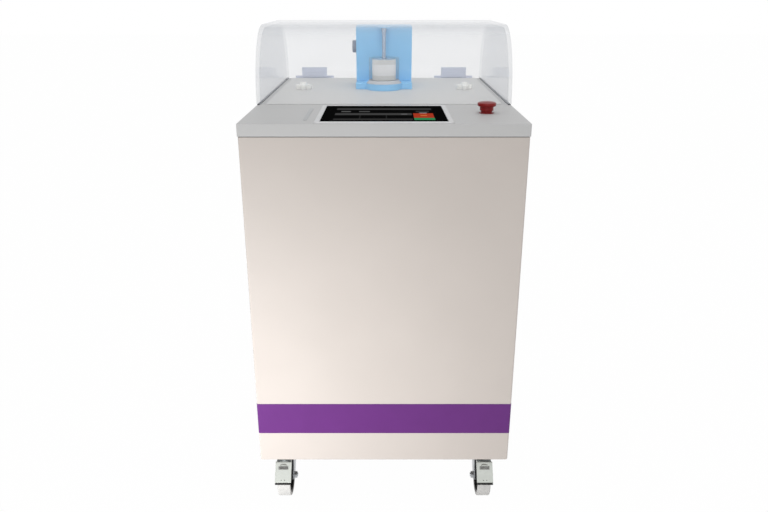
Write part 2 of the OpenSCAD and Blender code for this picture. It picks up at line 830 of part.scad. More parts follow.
// Stop button: fixed barrel with its flange, and the contact block below
module estop_body() {
    foot = deck_z - contact_drop;
    color(black) difference() {
        union() {
            translate([stop_x, stop_yy, deck_z]) cylinder(h = stop_flange_t, r = stop_flange_d / 2);
            translate([stop_x, stop_yy, foot]) cylinder(h = contact_drop + stop_flange_t + stop_travel, r = barrel_r);
            translate([stop_x - contact_w / 2, stop_yy - contact_w / 2, foot - contact_h])
                cube([contact_w, contact_w, contact_h + eps]);
        }
        translate([stop_x, stop_yy, foot - stop_travel - cut])
            cylinder(h = contact_drop + 3 * stop_travel, r = stop_stem_d / 2 + run_gap);
    }
}

module estop_plunger() {
    color(stop_red) translate([stop_x, stop_yy, 0]) {
        difference() {
            translate([0, 0, neck_z]) cylinder(h = head_foot - slide_gap - neck_z, r = stop_neck_d / 2);
            translate([0, 0, neck_z - cut])
                cylinder(h = cut + stop_travel + slide_gap, r = barrel_r + slide_gap);
        }
        translate([0, 0, deck_z - contact_drop + slide_gap])
            cylinder(h = head_foot + stop_head_h / 2 - deck_z + contact_drop - slide_gap, r = stop_stem_d / 2);
    }
}

module estop_head() {
    r = stop_head_d / 2;
    edge = stop_head_h / 4;
    dome = 3.5;
    color(stop_red) difference() {
        translate([stop_x, stop_yy, head_foot]) rotate_extrude() polygon(concat([[0, 0]],
            [for (k = [-6 : 0]) [r - edge + edge * cos(15 * k), edge + edge * sin(15 * k)]],
            [for (k = [0 : 12]) [r * cos(7.5 * k), stop_head_h - dome + dome * sin(7.5 * k)]]));
        translate([stop_x, stop_yy, head_foot - cut])
            cylinder(h = stop_head_h / 2 + cut + slide_gap, r = stop_stem_d / 2 + run_gap);
    }
}

module hood_seal() {
    w = cheek_t - hinge_clear;
    color(black) for (sx = [-1, 1])
        translate([sx * (cab_w - cheek_t) / 2 - w / 2, hood_y0 + cover_corner_r, deck_z])
            cube([w, min(hood_d, y_rear - hood_y0) - 2 * cover_corner_r, seal_h]);
}

// Side view of the hood as [y, z], drawn inwards by t from its outer face
function hood_arc(a, b, n) = [for (i = [0 : n])
    let (t = 90 * i / n)
    [a * (1 - pow(cos(t), 2 / hood_fullness)), b * pow(sin(t), 2 / hood_fullness)]];
module hood_profile(t) {
    a = hood_curve_run - t;
    b = deck_z + hood_h - hood_z - t;
    front = [for (p = hood_arc(a, b, 20)) [hood_y0 + t + p[0], hood_z + p[1]]];
    rear = [for (k = [len(front) - 1 : -1 : 0]) [hood_y0 + hood_y1 - front[k][0], front[k][1]]];
    polygon(concat(front, rear));
}

module hood_cover() {
    color(clear) along_x(cab_w - 2 * cheek_t) difference() {
        hood_profile(0);
        hood_profile(hood_sheet);
        translate([hood_y0 + hood_sheet, hood_z - cut]) square([hood_d - 2 * hood_sheet, cut + eps]);
    }
}

module hood_cheeks() {
    color(clear) for (sx = [-1, 1])
        translate([sx * (cab_w - cheek_t) / 2, 0, 0]) along_x(cheek_t) hood_profile(0);
}

module at_hinges() {
    for (sx = [-1, 1]) translate([sx * hinge_x, 0, 0]) children();
}

// A knuckle along X, centred on the hinge's axis
module knuckle(w, x, bore) {
    translate([x, hinge_y, hinge_z]) rotate([0, 90, 0]) difference() {
        translate([0, 0, -w / 2]) cylinder(h = w, r = knuckle_r);
        translate([0, 0, -w / 2 - cut]) cylinder(h = w + 2 * cut, r = bore);
    }
}

module hinge_hood_leaves() {
    w = hood_leaf_w - 2 * seat_gap;
    color(hinge_lilac) difference() {
        at_hinges() {
            translate([-w / 2, hood_y1 - hood_leaf_h / 4, hood_z]) cube([w, leaf_t + hood_leaf_h / 4, hood_leaf_h]);
            translate([-w / 2, hinge_y - knuckle_back, hood_z]) cube([w, knuckle_back, hinge_z + knuckle_r - hood_z - cut]);
            knuckle(w, 0, hinge_pin_r / 2);
        }
        along_x(cab_w) hood_profile(0);
        at_hinges() translate([-w / 2 - cut, hinge_y, hinge_z]) rotate([0, 90, 0])
            cylinder(h = w + 2 * cut, r = hinge_pin_r + run_gap);
    }
}

module hinge_base_leaves() {
    w = hood_leaf_w + 2 * base_knuckle_w;
    leaf_top = hinge_z - knuckle_r - seat_gap - cut;
    color(hinge_lilac) {
        at_hinges() {
            block([-w / 2, y_rear, leaf_top - base_leaf_h], [w, leaf_t, base_leaf_h]);
            for (sx = [-1, 1]) {
                x = sx * (hood_leaf_w + base_knuckle_w) / 2;
                difference() {
                    union() {
                        knuckle(base_knuckle_w, x, hinge_pin_r / 2);
                        translate([x - base_knuckle_w / 2, y_rear, leaf_top - eps])
                            cube([base_knuckle_w, leaf_t, hinge_z - leaf_top]);
                        translate([x - base_knuckle_w / 2, y_rear, hinge_z - knuckle_r])
                            cube([base_knuckle_w, hinge_y - y_rear, 2 * leaf_t / 3]);
                    }
                    translate([x - base_knuckle_w, hinge_y, hinge_z]) rotate([0, 90, 0])
                        cylinder(h = 2 * base_knuckle_w, r = hinge_pin_r + run_gap);
                }
            }
        }
        at_hinges() translate([-w / 2, hinge_y, hinge_z]) rotate([0, 90, 0]) cylinder(h = w, r = hinge_pin_r);
    }
}

module station_base() {
    h = deck_z + station_base_h - base_z;
    y0 = chamber_yy - base_lead;
    color(station_blue) {
        translate([0, 0, base_z]) linear_extrude(h) {
            translate([-station_w / 2, y0]) square([station_w, column_y1 - y0]);
            translate([0, chamber_yy]) circle(nose_r);
        }
    }
}

module station_column() {
    inner_w = station_w - 2 * column_wall;
    inner_d = column_d - 2 * column_wall;
    guide_z = column_z1 - column_wall - guide_drop;
    yc = (column_y0 + column_y1) / 2;
    color(station_blue) difference() {
        union() {
            difference() {
                slab(station_w, column_d, column_z1 - collar_z, yc, collar_z);
                slab(inner_w, inner_d, column_z1 - collar_z - column_wall + cut, yc, collar_z - cut);
            }
            slab(inner_w + cut, inner_d + cut, guide_t, yc, guide_z);
            translate([station_w / 2 - column_wall - bearing_l, shaft_y, shaft_z]) rotate([0, 90, 0])
                cylinder(h = bearing_l + cut, r = shaft_r + column_wall);
        }
        slab(post_w + 2 * slide_gap, post_d + 2 * slide_gap, column_top, yc, guide_z - cut);
        translate([-station_w / 2 - cut, shaft_y, shaft_z]) rotate([0, 90, 0])
            cylinder(h = station_w - column_wall / 2, r = shaft_r + run_gap);
    }
}

module chamber_collar() {
    color([0.78, 0.80, 0.82, 0.6]) translate([0, chamber_yy, collar_z]) difference() {
        cylinder(h = collar_h, r1 = nose_r, r2 = sleeve_r);
        translate([0, 0, -cut]) cylinder(h = collar_h + 2 * cut, r = stem_r + slide_gap);
    }
}

module chamber_sleeve() {
    color(clear) translate([0, chamber_yy, stack_z]) difference() {
        cylinder(h = sleeve_h, r = sleeve_r);
        translate([0, 0, -cut]) cylinder(h = sleeve_h + 2 * cut, r = sleeve_bore);
    }
}

module lower_electrode() {
    color(steel) translate([0, chamber_yy, 0]) {
        translate([0, 0, collar_z + seat_gap]) cylinder(h = collar_h, r = stem_r);
        translate([0, 0, stack_z]) cylinder(h = lower_h, r = electrode_r);
        translate([0, 0, ring_z - eps]) cylinder(h = spigot_h, r = ring_bore_r - slide_gap);
    }
}

module chamber_ring() {
    color([0.95, 0.95, 0.95]) translate([0, chamber_yy, ring_z]) difference() {
        cylinder(h = ring_h, r = electrode_r);
        translate([0, 0, -cut]) cylinder(h = ring_h + 2 * cut, r = ring_bore_r);
    }
}

module upper_electrode() {
    color(steel) translate([0, chamber_yy, 0]) {
        translate([0, 0, upper_z]) cylinder(h = upper_h, r = electrode_r);
        translate([0, 0, upper_z - spigot_h]) cylinder(h = spigot_h + eps, r = ring_bore_r - slide_gap);
    }
}

module electrode_rod() {
    color(steel) translate([0, chamber_yy, 0]) {
        translate([0, 0, stack_top + seat_gap / 2]) cylinder(h = head_z - stack_top - seat_gap / 2, r = rod_r);
        translate([0, 0, head_z - shoulder_h]) cylinder(h = shoulder_h, r = shoulder_r);
    }
}

module head_plate() {
    color(station_blue) {
        slab(station_w, column_d, head_t, (column_y0 + column_y1) / 2, head_z);
        block([-tab_w / 2, chamber_yy - tab_lead, head_z], [tab_w, column_y0 - chamber_yy + tab_lead + cut, head_t]);
    }
}

module lift_carriage() {
    foot = shaft_z + cam_r + run_gap + follower_r;
    color(steel) {
        slab(post_w, post_d, head_z - foot, shaft_y, foot);
        translate([-post_w / 2, shaft_y, foot]) rotate([0, 90, 0]) cylinder(h = post_w, r = follower_r);
    }
}

module lift_knob() {
    ribs = 20;
    rib_h = 1;
    rib_w = 2;
    x = -station_w / 2 - seat_gap - lift_knob_l;
    color([0.62, 0.62, 0.67]) translate([x, shaft_y, shaft_z]) rotate([0, 90, 0]) difference() {
        union() {
            cylinder(h = lift_knob_l, r = lift_knob_r - rib_h);
            for (k = [0 : ribs - 1]) rotate(k * 360 / ribs)
                translate([lift_knob_r - 2 * rib_h, -rib_w / 2, 0]) cube([2 * rib_h, rib_w, lift_knob_l - rib_h]);
        }
        translate([0, 0, lift_knob_l - shaft_seat]) cylinder(h = shaft_seat + cut, r = shaft_r + run_gap);
    }
}

// Snail cam whose radius grows by the lift over a quarter turn
cam_step = 40;         // angle over which the cam falls back, in degrees
function cam_radius(a) = a <= 0 ? cam_r + lift_travel * max(0, (a + cam_step) / cam_step)
    : a <= 90 ? cam_r + lift_travel * (90 - a) / 90 : cam_r;
module lift_shaft() {
    x0 = -station_w / 2 - seat_gap - shaft_seat;
    color(steel) translate([0, shaft_y, shaft_z]) {
        translate([x0, 0, 0]) rotate([0, 90, 0]) cylinder(h = station_w / 2 - column_wall - seat_gap - x0, r = shaft_r);
        along_x(cam_w) polygon([for (k = [-36 : 35]) let (a = 5 * k, r = cam_radius(a)) [r * cos(a), r * sin(a)]]);
    }
}

// Star knob with four lobes on a stud that passes through the deck
module clamp_knob(sx) {
    z = plate_top_z + seat_gap;
    reach = clamp_d / 2 - lobe_r;
    arm = 1.4 * lobe_r;
    stud_collar_r = stud_r + 3;
    color([0.95, 0.95, 0.95]) translate([sx * clamp_x, chamber_yy, 0]) {
        translate([0, 0, z]) cylinder(h = clamp_h - seat_gap, r = clamp_hub_r);
        translate([0, 0, z]) linear_extrude(lobe_h) for (k = [0 : 3]) rotate(90 * k) {
            translate([reach, 0]) circle(lobe_r);
            translate([0, -arm / 2]) square([reach, arm]);
        }
        translate([0, 0, deck_z - stud_drop]) cylinder(h = z - deck_z + stud_drop + eps, r = stud_r);
        translate([0, 0, deck_z - stud_drop]) cylinder(h = stud_drop - sheet - seat_gap, r = stud_collar_r);
    }
}

module left_clamp_knob() {
    clamp_knob(-1);
}

module right_clamp_knob() {
    clamp_knob(1);
}

module capacitor_bank() {
    pitch = cap_w + cap_gap;
    color([0.62, 0.64, 0.66]) for (i = [0 : caps - 1])
        translate([(i - (caps - 1) / 2) * pitch, y_front + cap_front + cap_d / 2, frame_z]) {
            translate([-cap_w / 2, -cap_d / 2, 0]) cube([cap_w, cap_d, cap_h]);
            for (s = [-1, 1]) translate([0, s * cap_d / 4, cap_h - eps]) cylinder(h = terminal_h, r = terminal_r);
        }
}

module transformer_core() {
    y0 = y_front + core_front;
    window_w = (core_w - 4 * core_limb) / 2;
    color([0.35, 0.35, 0.37]) difference() {
        block([-core_w / 2, y0, frame_z], [core_w, core_d, core_h]);
        for (sx = [-1, 1])
            translate([sx * (core_limb + window_w / 2) - window_w / 2, y0 - cut, frame_z + core_limb])
                cube([window_w, core_d + 2 * cut, core_h - 2 * core_limb]);
    }
}

module transformer_windings() {
    z = frame_z + core_limb + seat_gap;
    h = core_h - 2 * core_limb - 2 * seat_gap;
    yc = y_front + core_front + core_d / 2;
    color([0.72, 0.42, 0.24]) difference() {
        slab(2 * core_limb + 2 * coil_wall, core_d + 2 * coil_wall, h, yc, z);
        slab(2 * core_limb + 2 * seat_gap, core_d + 2 * seat_gap, h + 2 * cut, yc, z - cut);
    }
}

module charging_supply() {
    color([0.70, 0.71, 0.73]) difference() {
        block([-supply_w / 2, y_front + supply_front, shelf_z + seat_gap], [supply_w, supply_d, supply_h]);
        for (k = [-6 : 6])
            block([1.5 * k * vent_pitch - vent_w / 2, y_front + supply_front - cut, shelf_z + supply_h / 4],
                [vent_w, vent_w, supply_h / 2]);
    }
}

module switch_stack() {
    y0 = y_front + switch_front;
    base_t = 12;
    z = shelf_z + seat_gap;
    pitch = (switch_w - fin_t) / (fins - 1);
    color([0.72, 0.73, 0.75]) {
        block([-switch_w / 2, y0, z], [switch_w, switch_d, base_t]);
        for (i = [0 : fins - 1])
            block([-switch_w / 2 + i * pitch, y0, z + base_t - eps], [fin_t, switch_d, fin_h]);
    }
}

module control_board() {
    board_t = 1.6;
    standoff_r = 4;
    standoff_in = 10;
    chip = [40, 40, 6];
    z = shelf_z + seat_gap;
    y0 = y_front + board_front;
    color([0.12, 0.42, 0.24]) {
        block([-board_w / 2, y0, z + standoff_h], [board_w, board_d, board_t]);
        for (sx = [-1, 1], sy = [-1, 1])
            translate([sx * (board_w / 2 - standoff_in), y0 + board_d / 2 + sy * (board_d / 2 - standoff_in), z])
                cylinder(h = standoff_h + eps, r = standoff_r);
        for (k = [-1 : 1])
            block([1.5 * k * chip[0] - chip[0] / 2, y0 + (board_d - chip[1]) / 2, z + standoff_h + board_t - eps], chip);
    }
}

module interlock_switch() {
    color(black) block([cab_w / 2 - sheet - angle_leg - seat_gap - 2 * interlock_w, hood_y0 + interlock_l,
        deck_z - sheet - seat_gap - interlock_w], [interlock_w, interlock_l, interlock_w]);
}

// Mains inlet: flange outside the rear panel, body inside, with a socket below a rocker
module mains_inlet() {
    rocker_room = 1;
    pin_pitch = 7;
    pin = [2, socket_depth - 6, 4];
    color(black) {
        difference() {
            union() {
                block([inlet_x - inlet_w / 2, y_rear, inlet_z - inlet_h / 2], [inlet_w, inlet_t, inlet_h]);
                block([inlet_x - inlet_body_w / 2, y_rear - inlet_depth, inlet_z - inlet_body_h / 2],
                    [inlet_body_w, inlet_depth + eps, inlet_body_h]);
            }
            block([inlet_x - socket_w / 2, y_rear + inlet_t - socket_depth, socket_z - socket_h / 2],
                [socket_w, socket_depth + cut, socket_h]);
            block([inlet_x - rocker_w / 2 - rocker_room / 2, rocker_y - rocker_depth, rocker_z - rocker_h / 2 - rocker_room],
                [rocker_w + rocker_room, 2 * rocker_depth + cut, rocker_h + 2 * rocker_room]);
        }
        for (p = [[-pin_pitch, -pin[2] / 2], [0, pin[2] * 3 / 4], [pin_pitch, -pin[2] / 2]])
            block([inlet_x + p[0] - pin[0] / 2, y_rear + inlet_t - socket_depth - eps, socket_z + p[1] - pin[2] / 2], pin);
        translate([inlet_x - rocker_w / 2 - rocker_room, rocker_y, rocker_z]) rotate([0, 90, 0])
            cylinder(h = rocker_w + 2 * rocker_room, r = rocker_pin_r);
    }
}

// Rocker, drawn with its lower half pressed in
module mains_rocker() {
    half = rocker_h / 2 - rocker_pin_r;
    back = 5;
    face = 10;
    bow = 2 * rocker_h;
    color(black) difference() {
        translate([inlet_x, rocker_y, rocker_z]) along_x(rocker_w) rotate(rocker_swing / 2) difference() {
            translate([-back, -half]) square([back + face, 2 * half]);
            translate([face + bow, 0]) circle(bow + rocker_pin_r, $fn = 128);
        }
        translate([inlet_x - rocker_w, rocker_y, rocker_z]) rotate([0, 90, 0])
            cylinder(h = 2 * rocker_w, r = rocker_pin_r + run_gap);
    }
}

module fan_frame() {
    y1 = y_rear - sheet - seat_gap;
    color(black) {
        difference() {
            block([fan_x - fan_side / 2, y1 - fan_d, fan_z - fan_side / 2], [fan_side, fan_d, fan_side]);
            translate([fan_x, y1 + cut, fan_z]) rotate([90, 0, 0]) cylinder(h = fan_d + 2 * cut, r = fan_bore_r);
        }
        difference() {
            union() {
                translate([fan_x, y1 - seat_gap, fan_z]) rotate([90, 0, 0]) cylinder(h = fan_web_t - seat_gap, r = fan_hub_r);
                for (k = [0 : 3]) translate([fan_x, y1 - fan_web_t + seat_gap, fan_z]) rotate([0, 90 * k + 45, 0])
                    translate([fan_hub_r - fan_web_t, 0, -fan_web_t / 2])
                        cube([fan_bore_r - fan_hub_r + fan_web_t + cut, fan_web_t - 3 * seat_gap, fan_web_t]);
            }
            translate([fan_x, y1 + cut, fan_z]) rotate([90, 0, 0])
                cylinder(h = fan_web_t + 2 * cut, r = fan_shaft_r + run_gap);
        }
    }
}

module fan_rotor() {
    y1 = y_rear - sheet - seat_gap - fan_web_t - slide_gap;
    h = fan_d - 2 * fan_web_t;
    blade_t = 1.8;
    blade_turn = 35;
    color([0.18, 0.18, 0.20]) translate([fan_x, y1, fan_z]) rotate([90, 0, 0]) {
        cylinder(h = h, r = fan_hub_r);
        translate([0, 0, cut - fan_web_t]) cylinder(h = fan_web_t, r = fan_shaft_r);
        intersection() {
            cylinder(h = h, r = fan_bore_r - blade_gap);
            for (k = [0 : blades - 1]) rotate(k * 360 / blades) rotate([blade_turn, 0, 0])
                translate([fan_hub_r - blade_gap, 0, -h]) cube([fan_bore_r - fan_hub_r, blade_t, 3 * h]);
        }
    }
}

// Rear panel's screws, and the bolts and nuts of the casters
module cabinet_fasteners() {
    color(steel) {
        for (p = rear_screws) translate([p[0], y_rear + nut_seat, p[1]]) rotate([90, 0, 0]) {
            translate([0, 0, -screw_head_h]) cylinder(h = screw_head_h, r = screw_head_r);
            translate([0, 0, -eps]) cylinder(h = sheet + seat_gap + angle_t, r = screw_r);
        }
        for (c = casters) translate([c[0], c[1], 0]) caster_bolt_points() {
            translate([0, 0, caster_h - plate_t - nut_seat - caster_bolt_head_h])
                cylinder(h = caster_bolt_head_h, r = 1.6 * caster_bolt_r, $fn = 6);
            translate([0, 0, caster_h - plate_t - nut_seat - eps])
                cylinder(h = plate_t + sheet + seat_gap + angle_t + 2, r = caster_bolt_r);
            translate([0, 0, frame_z + angle_t + nut_seat])
                cylinder(h = caster_bolt_head_h, r = 1.6 * caster_bolt_r, $fn = 6);
        }
    }
}

// Fixed top plates of the casters, each with its upper race and kingpin
module caster_plates() {
    color(steel) for (c = casters) translate([c[0], c[1], 0]) {
        difference() {
            slab(plate_w, plate_d, plate_t - eps, 0, caster_h - plate_t);
            translate([0, 0, caster_h - plate_t - cut]) caster_bolt_points()
                cylinder(h = plate_t + 2 * cut, r = caster_bolt_r + slide_gap);
        }
        translate([0, 0, race_z]) cylinder(h = race_h + eps, r = race_r);
        translate([0, 0, crown_z - seat_gap - kingpin_head_h / 2])
            cylinder(h = race_z - crown_z + seat_gap + kingpin_head_h, r = kingpin_r);
        translate([0, 0, crown_z - seat_gap - kingpin_head_h]) cylinder(h = kingpin_head_h, r = kingpin_head_r);
    }
}

// Swivelling fork of a caster, with its axle bolt and nut; the nut faces the cabinet's middle
module fork(c, braked) {
    eye = [-trail, axle_z];
    side = c[0] < 0 ? 1 : -1;
    pin_len = fork_outer + 2 * nut_seat;
    race_step = 2.5;
    thread_l = 2;
    color(steel) translate([c[0], c[1], 0]) {
        difference() {
            union() {
                translate([0, 0, crown_z]) cylinder(h = crown_t, r = race_r - race_step);
                translate([0, 0, crown_z + crown_t - eps])
                    cylinder(h = race_z - crown_z - crown_t - seat_gap + eps, r = race_r - 2 * race_step);
                slab(fork_outer, race_r, crown_t, -race_r / 2, crown_z);
                for (s = [-1, 1]) translate([s * (fork_inner + leg_t) / 2, 0, 0]) along_x(leg_t) hull() {
                    translate(eye) circle(leg_eye_r);
                    translate([-race_r, crown_z - cut]) square([1.7 * race_r, crown_t + cut]);
                }
            }
            translate([0, 0, crown_z - cut]) cylinder(h = race_z, r = kingpin_r + run_gap);
            translate([0, eye[0], eye[1]]) rotate([0, 90, 0]) cylinder(h = 2 * fork_outer, r = axle_r + run_gap, center = true);
            if (braked) translate([0, pivot_y, pivot_z]) rotate([0, 90, 0])
                cylinder(h = 2 * fork_outer, r = pivot_r + run_gap, center = true);
        }
        translate([0, eye[0], eye[1]]) {
            rotate([0, 90, 0]) cylinder(h = pin_len + nut_h, r = axle_r, center = true);
            hex_x(pin_len / 2, nut_r, nut_h);
            hex_x(-pin_len / 2 - nut_h, nut_r, nut_h);
            translate([side * (pin_len / 2 + nut_h), 0, 0]) rotate([0, side * 90, 0])
                cylinder(h = thread_l, r = axle_r - slide_gap);
        }
    }
}

module hub(c) {
    w = wheel_w - wheel_gap;
    dish = 7;
    rim_t = 5;
    boss_t = 5;
    color(black) translate([c[0], c[1] - trail, axle_z]) rotate([0, 90, 0]) difference() {
        union() {
            translate([0, 0, -w / 2]) cylinder(h = w, r = hub_r);
            translate([0, 0, -fork_inner / 2 + seat_gap]) cylinder(h = fork_inner - 2 * seat_gap, r = axle_r + boss_t);
        }
        for (s = [-1, 1]) difference() {
            translate([0, 0, s > 0 ? w / 2 - dish : -w / 2 - cut]) cylinder(h = dish + cut, r = hub_r - rim_t);
            translate([0, 0, s > 0 ? w / 2 - dish - cut : -w / 2 - 2 * cut])
                cylinder(h = dish + 3 * cut, r = axle_r + 1.6 * boss_t);
        }
        translate([0, 0, -fork_inner]) cylinder(h = 2 * fork_inner, r = axle_r + run_gap);
    }
}

module tyre(c) {
    r = wheel_d / 2;
    soft = 3;
    color([0.75, 0.75, 0.75]) translate([c[0], c[1] - trail, axle_z]) rotate([0, 90, 0])
        rotate_extrude() {
            translate([hub_r, -wheel_w / 2]) square([tread_t - soft, wheel_w]);
            translate([hub_r, -wheel_w / 2 + soft]) square([tread_t, wheel_w - 2 * soft]);
            for (s = [-1, 1]) translate([r - soft, s * (wheel_w / 2 - soft)]) circle(soft);
        }
}

// Brake pedal, drawn with y and z from the swivel axis and the floor
module pedal(c) {
    arm_w = fork_inner - 3 * seat_gap;
    v = pedal_dir;
    face_end = pedal_tip - v * pad_h;
    tilt = atan2(v[1], v[0]);
    slot_at = pedal_brow + v * 1.6 * slot_h;
    translate([c[0], c[1], 0]) {
        color(steel) difference() {
            union() {
                along_x(arm_w) {
                    strip([pivot_y, pivot_z], pedal_knee, pedal_t);
                    strip(pedal_knee, pedal_brow, pedal_t);
                }
                along_x(pedal_w) strip(pedal_brow, face_end, pedal_t);
                translate([0, pivot_y, pivot_z]) rotate([0, 90, 0]) cylinder(h = fork_outer - 2 * seat_gap, r = pivot_r, center = true);
            }
            along_x(slot_w) translate(slot_at) rotate(tilt) square([slot_h, 3 * pedal_t], center = true);
        }
        color(black) along_x(pedal_w - cut) translate(face_end + v * (pedal_t / 2 + nut_seat)) rotate(tilt)
            translate([0, -pad_t / 2]) square([pad_h - pedal_t / 2, pad_t]);
    }
}

module front_left_fork() { fork(casters[0], true); }
module front_left_hub() { hub(casters[0]); }
module front_left_tyre() { tyre(casters[0]); }
module front_left_pedal() { pedal(casters[0]); }
module front_right_fork() { fork(casters[1], true); }
module front_right_hub() { hub(casters[1]); }
module front_right_tyre() { tyre(casters[1]); }
module front_right_pedal() { pedal(casters[1]); }
module rear_left_fork() { fork(casters[2], false); }
module rear_left_hub() { hub(casters[2]); }
module rear_left_tyre() { tyre(casters[2]); }
module rear_right_fork() { fork(casters[3], false); }
module rear_right_hub() { hub(casters[3]); }
module rear_right_tyre() { tyre(casters[3]); }

welded_frame();
bottom_pan();
front_panel();
accent_band();
side_panels();
rear_panel();
top_cover();
deck_plate();
hmi_housing();
hmi_glass();
status_bar();
estop_body();
hood_seal();
hinge_base_leaves();
station_base();
station_column();
chamber_collar();
chamber_sleeve();
lower_electrode();
chamber_ring();
upper_electrode();
capacitor_bank();
transformer_core();
transformer_windings();
charging_supply();
switch_stack();
control_board();
interlock_switch();
mains_inlet();
fan_frame();
cabinet_fasteners();
caster_plates();
hood_cover();
hood_cheeks();
hinge_hood_leaves();
estop_plunger();
estop_head();
electrode_rod();
head_plate();
lift_carriage();
lift_knob();
lift_shaft();
left_clamp_knob();
right_clamp_knob();
fan_rotor();
mains_rocker();
front_left_fork();
front_left_hub();
front_left_tyre();
front_left_pedal();
front_right_fork();
front_right_hub();
front_right_tyre();
front_right_pedal();
rear_left_fork();
rear_left_hub();
rear_left_tyre();
rear_right_fork();
rear_right_hub();
rear_right_tyre();
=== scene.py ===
# Floor-standing electroporator, dressed for the render. Blender 4.5.
# Metres, in the CAD's frame: the front faces -Y, +Z is up, the wheels stand on Z = 0.
import json
import math

import bmesh
import bpy
from mathutils import Matrix, Vector


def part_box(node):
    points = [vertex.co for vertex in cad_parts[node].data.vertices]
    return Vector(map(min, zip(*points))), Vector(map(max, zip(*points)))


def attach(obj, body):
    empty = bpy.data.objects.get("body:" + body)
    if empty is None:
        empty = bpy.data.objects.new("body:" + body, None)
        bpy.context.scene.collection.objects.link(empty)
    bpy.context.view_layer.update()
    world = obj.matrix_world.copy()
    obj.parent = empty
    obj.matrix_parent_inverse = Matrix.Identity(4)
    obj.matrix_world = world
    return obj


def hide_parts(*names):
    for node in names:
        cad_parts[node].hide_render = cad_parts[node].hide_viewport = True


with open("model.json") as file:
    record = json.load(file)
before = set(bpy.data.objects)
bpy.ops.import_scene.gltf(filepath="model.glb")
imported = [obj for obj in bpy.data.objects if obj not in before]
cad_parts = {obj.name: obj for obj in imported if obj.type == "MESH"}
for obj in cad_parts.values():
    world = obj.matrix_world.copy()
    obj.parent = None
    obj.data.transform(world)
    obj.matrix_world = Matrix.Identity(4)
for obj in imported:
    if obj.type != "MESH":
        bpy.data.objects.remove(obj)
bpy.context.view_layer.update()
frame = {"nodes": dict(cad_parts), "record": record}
mm = 0.001
print("stage: frame loaded,", len(frame["nodes"]), "nodes")


# Helpers

def linear(hexColour):  # sRGB hex to linear RGBA
    parts = [int(hexColour[k:k + 2], 16) / 255 for k in (1, 3, 5)]
    return tuple(p / 12.92 if p <= 0.04045 else ((p + 0.055) / 1.055) ** 2.4 for p in parts) + (1.0,)


def perMetre(size):  # texture scale for a pattern whose grain is so many millimetres
    return 1 / (size * mm)


def addNode(tree, kind, inputs=None, **settings):
    node = tree.nodes.new(kind)
    for key, value in settings.items():
        setattr(node, key, value)
    for key, value in (inputs or {}).items():
        if isinstance(value, bpy.types.NodeSocket):
            tree.links.new(value, node.inputs[key])
        else:
            node.inputs[key].default_value = value
    return node


def newMaterial(name):
    material = bpy.data.materials.new(name)
    material.use_nodes = True
    material.node_tree.nodes.clear()
    return material, material.node_tree


def finishMaterial(tree, shader):
    addNode(tree, "ShaderNodeOutputMaterial", {"Surface": shader.outputs[0]})


def smoothByAngle(bm, degrees):
    limit = math.radians(degrees)
    for face in bm.faces:
        face.smooth = True
    for edge in bm.edges:
        edge.smooth = len(edge.link_faces) == 2 and edge.calc_face_angle(0) < limit


def newPiece(name, bm, material, body, replaces=(), sharp=35):
    bmesh.ops.recalc_face_normals(bm, faces=bm.faces)
    smoothByAngle(bm, sharp)
    mesh = bpy.data.meshes.new(name)
    bm.to_mesh(mesh)
    bm.free()
    return placePiece(bpy.data.objects.new(name, mesh), material, body, replaces)


def placePiece(piece, material, body, replaces=()):
    if piece.name not in bpy.context.scene.collection.objects:
        bpy.context.scene.collection.objects.link(piece)
    if material:
        piece.data.materials.clear()
        piece.data.materials.append(material)
    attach(piece, body)
    if replaces:
        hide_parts(*replaces)
    return piece


def applyModifiers(piece):  # the evaluated result becomes the piece's own plain mesh
    bpy.context.view_layer.update()
    mesh = bpy.data.meshes.new_from_object(piece.evaluated_get(bpy.context.evaluated_depsgraph_get()))
    piece.modifiers.clear()
    piece.data = mesh
    return piece


def looseParts(bm):  # lists of the faces that hang together
    left, parts = set(bm.faces), []
    while left:
        part, edge = set(), [left.pop()]
        while edge:
            face = edge.pop()
            part.add(face)
            for near in {f for v in face.verts for f in v.link_faces} & left:
                left.discard(near)
                edge.append(near)
        parts.append(list(part))
    return parts


def middleOf(faces):
    points = [v.co for face in faces for v in face.verts]
    return Vector([(min(p[k] for p in points) + max(p[k] for p in points)) / 2 for k in range(3)])


softening = {
    "merge": 0.004,  # mm, loose triangles are joined across less than this
    "flat": 0.4,     # degrees, faces that turn by less become one
}


def softenedCopy(node, edge, segments=2, sharp=30, keep=None):
    # A copy of a CAD node with its edges rounded by so many millimetres and clean shading.
    # keep picks its loose parts by their middle.
    bm = bmesh.new()
    bm.from_mesh(frame["nodes"][node].data)
    bmesh.ops.remove_doubles(bm, verts=bm.verts, dist=softening["merge"] * mm)
    if keep:
        spare = [face for part in looseParts(bm) if not keep(middleOf(part)) for face in part]
        bmesh.ops.delete(bm, geom=spare, context="FACES")
    bmesh.ops.dissolve_limit(bm, angle_limit=math.radians(softening["flat"]), verts=bm.verts, edges=bm.edges)
    smoothByAngle(bm, sharp)
    mesh = bpy.data.meshes.new(node + ".soft")
    bm.to_mesh(mesh)
    bm.free()
    piece = bpy.data.objects.new(node + ".soft", mesh)
    bpy.context.scene.collection.objects.link(piece)
    bevel = piece.modifiers.new("edges", "BEVEL")
    bevel.width = edge * mm
    bevel.segments = segments
    bevel.limit_method = "ANGLE"
    bevel.angle_limit = math.radians(sharp)
    bevel.miter_outer = "MITER_ARC"
    normals = piece.modifiers.new("shading", "WEIGHTED_NORMAL")
    normals.keep_sharp = True
    return applyModifiers(piece)


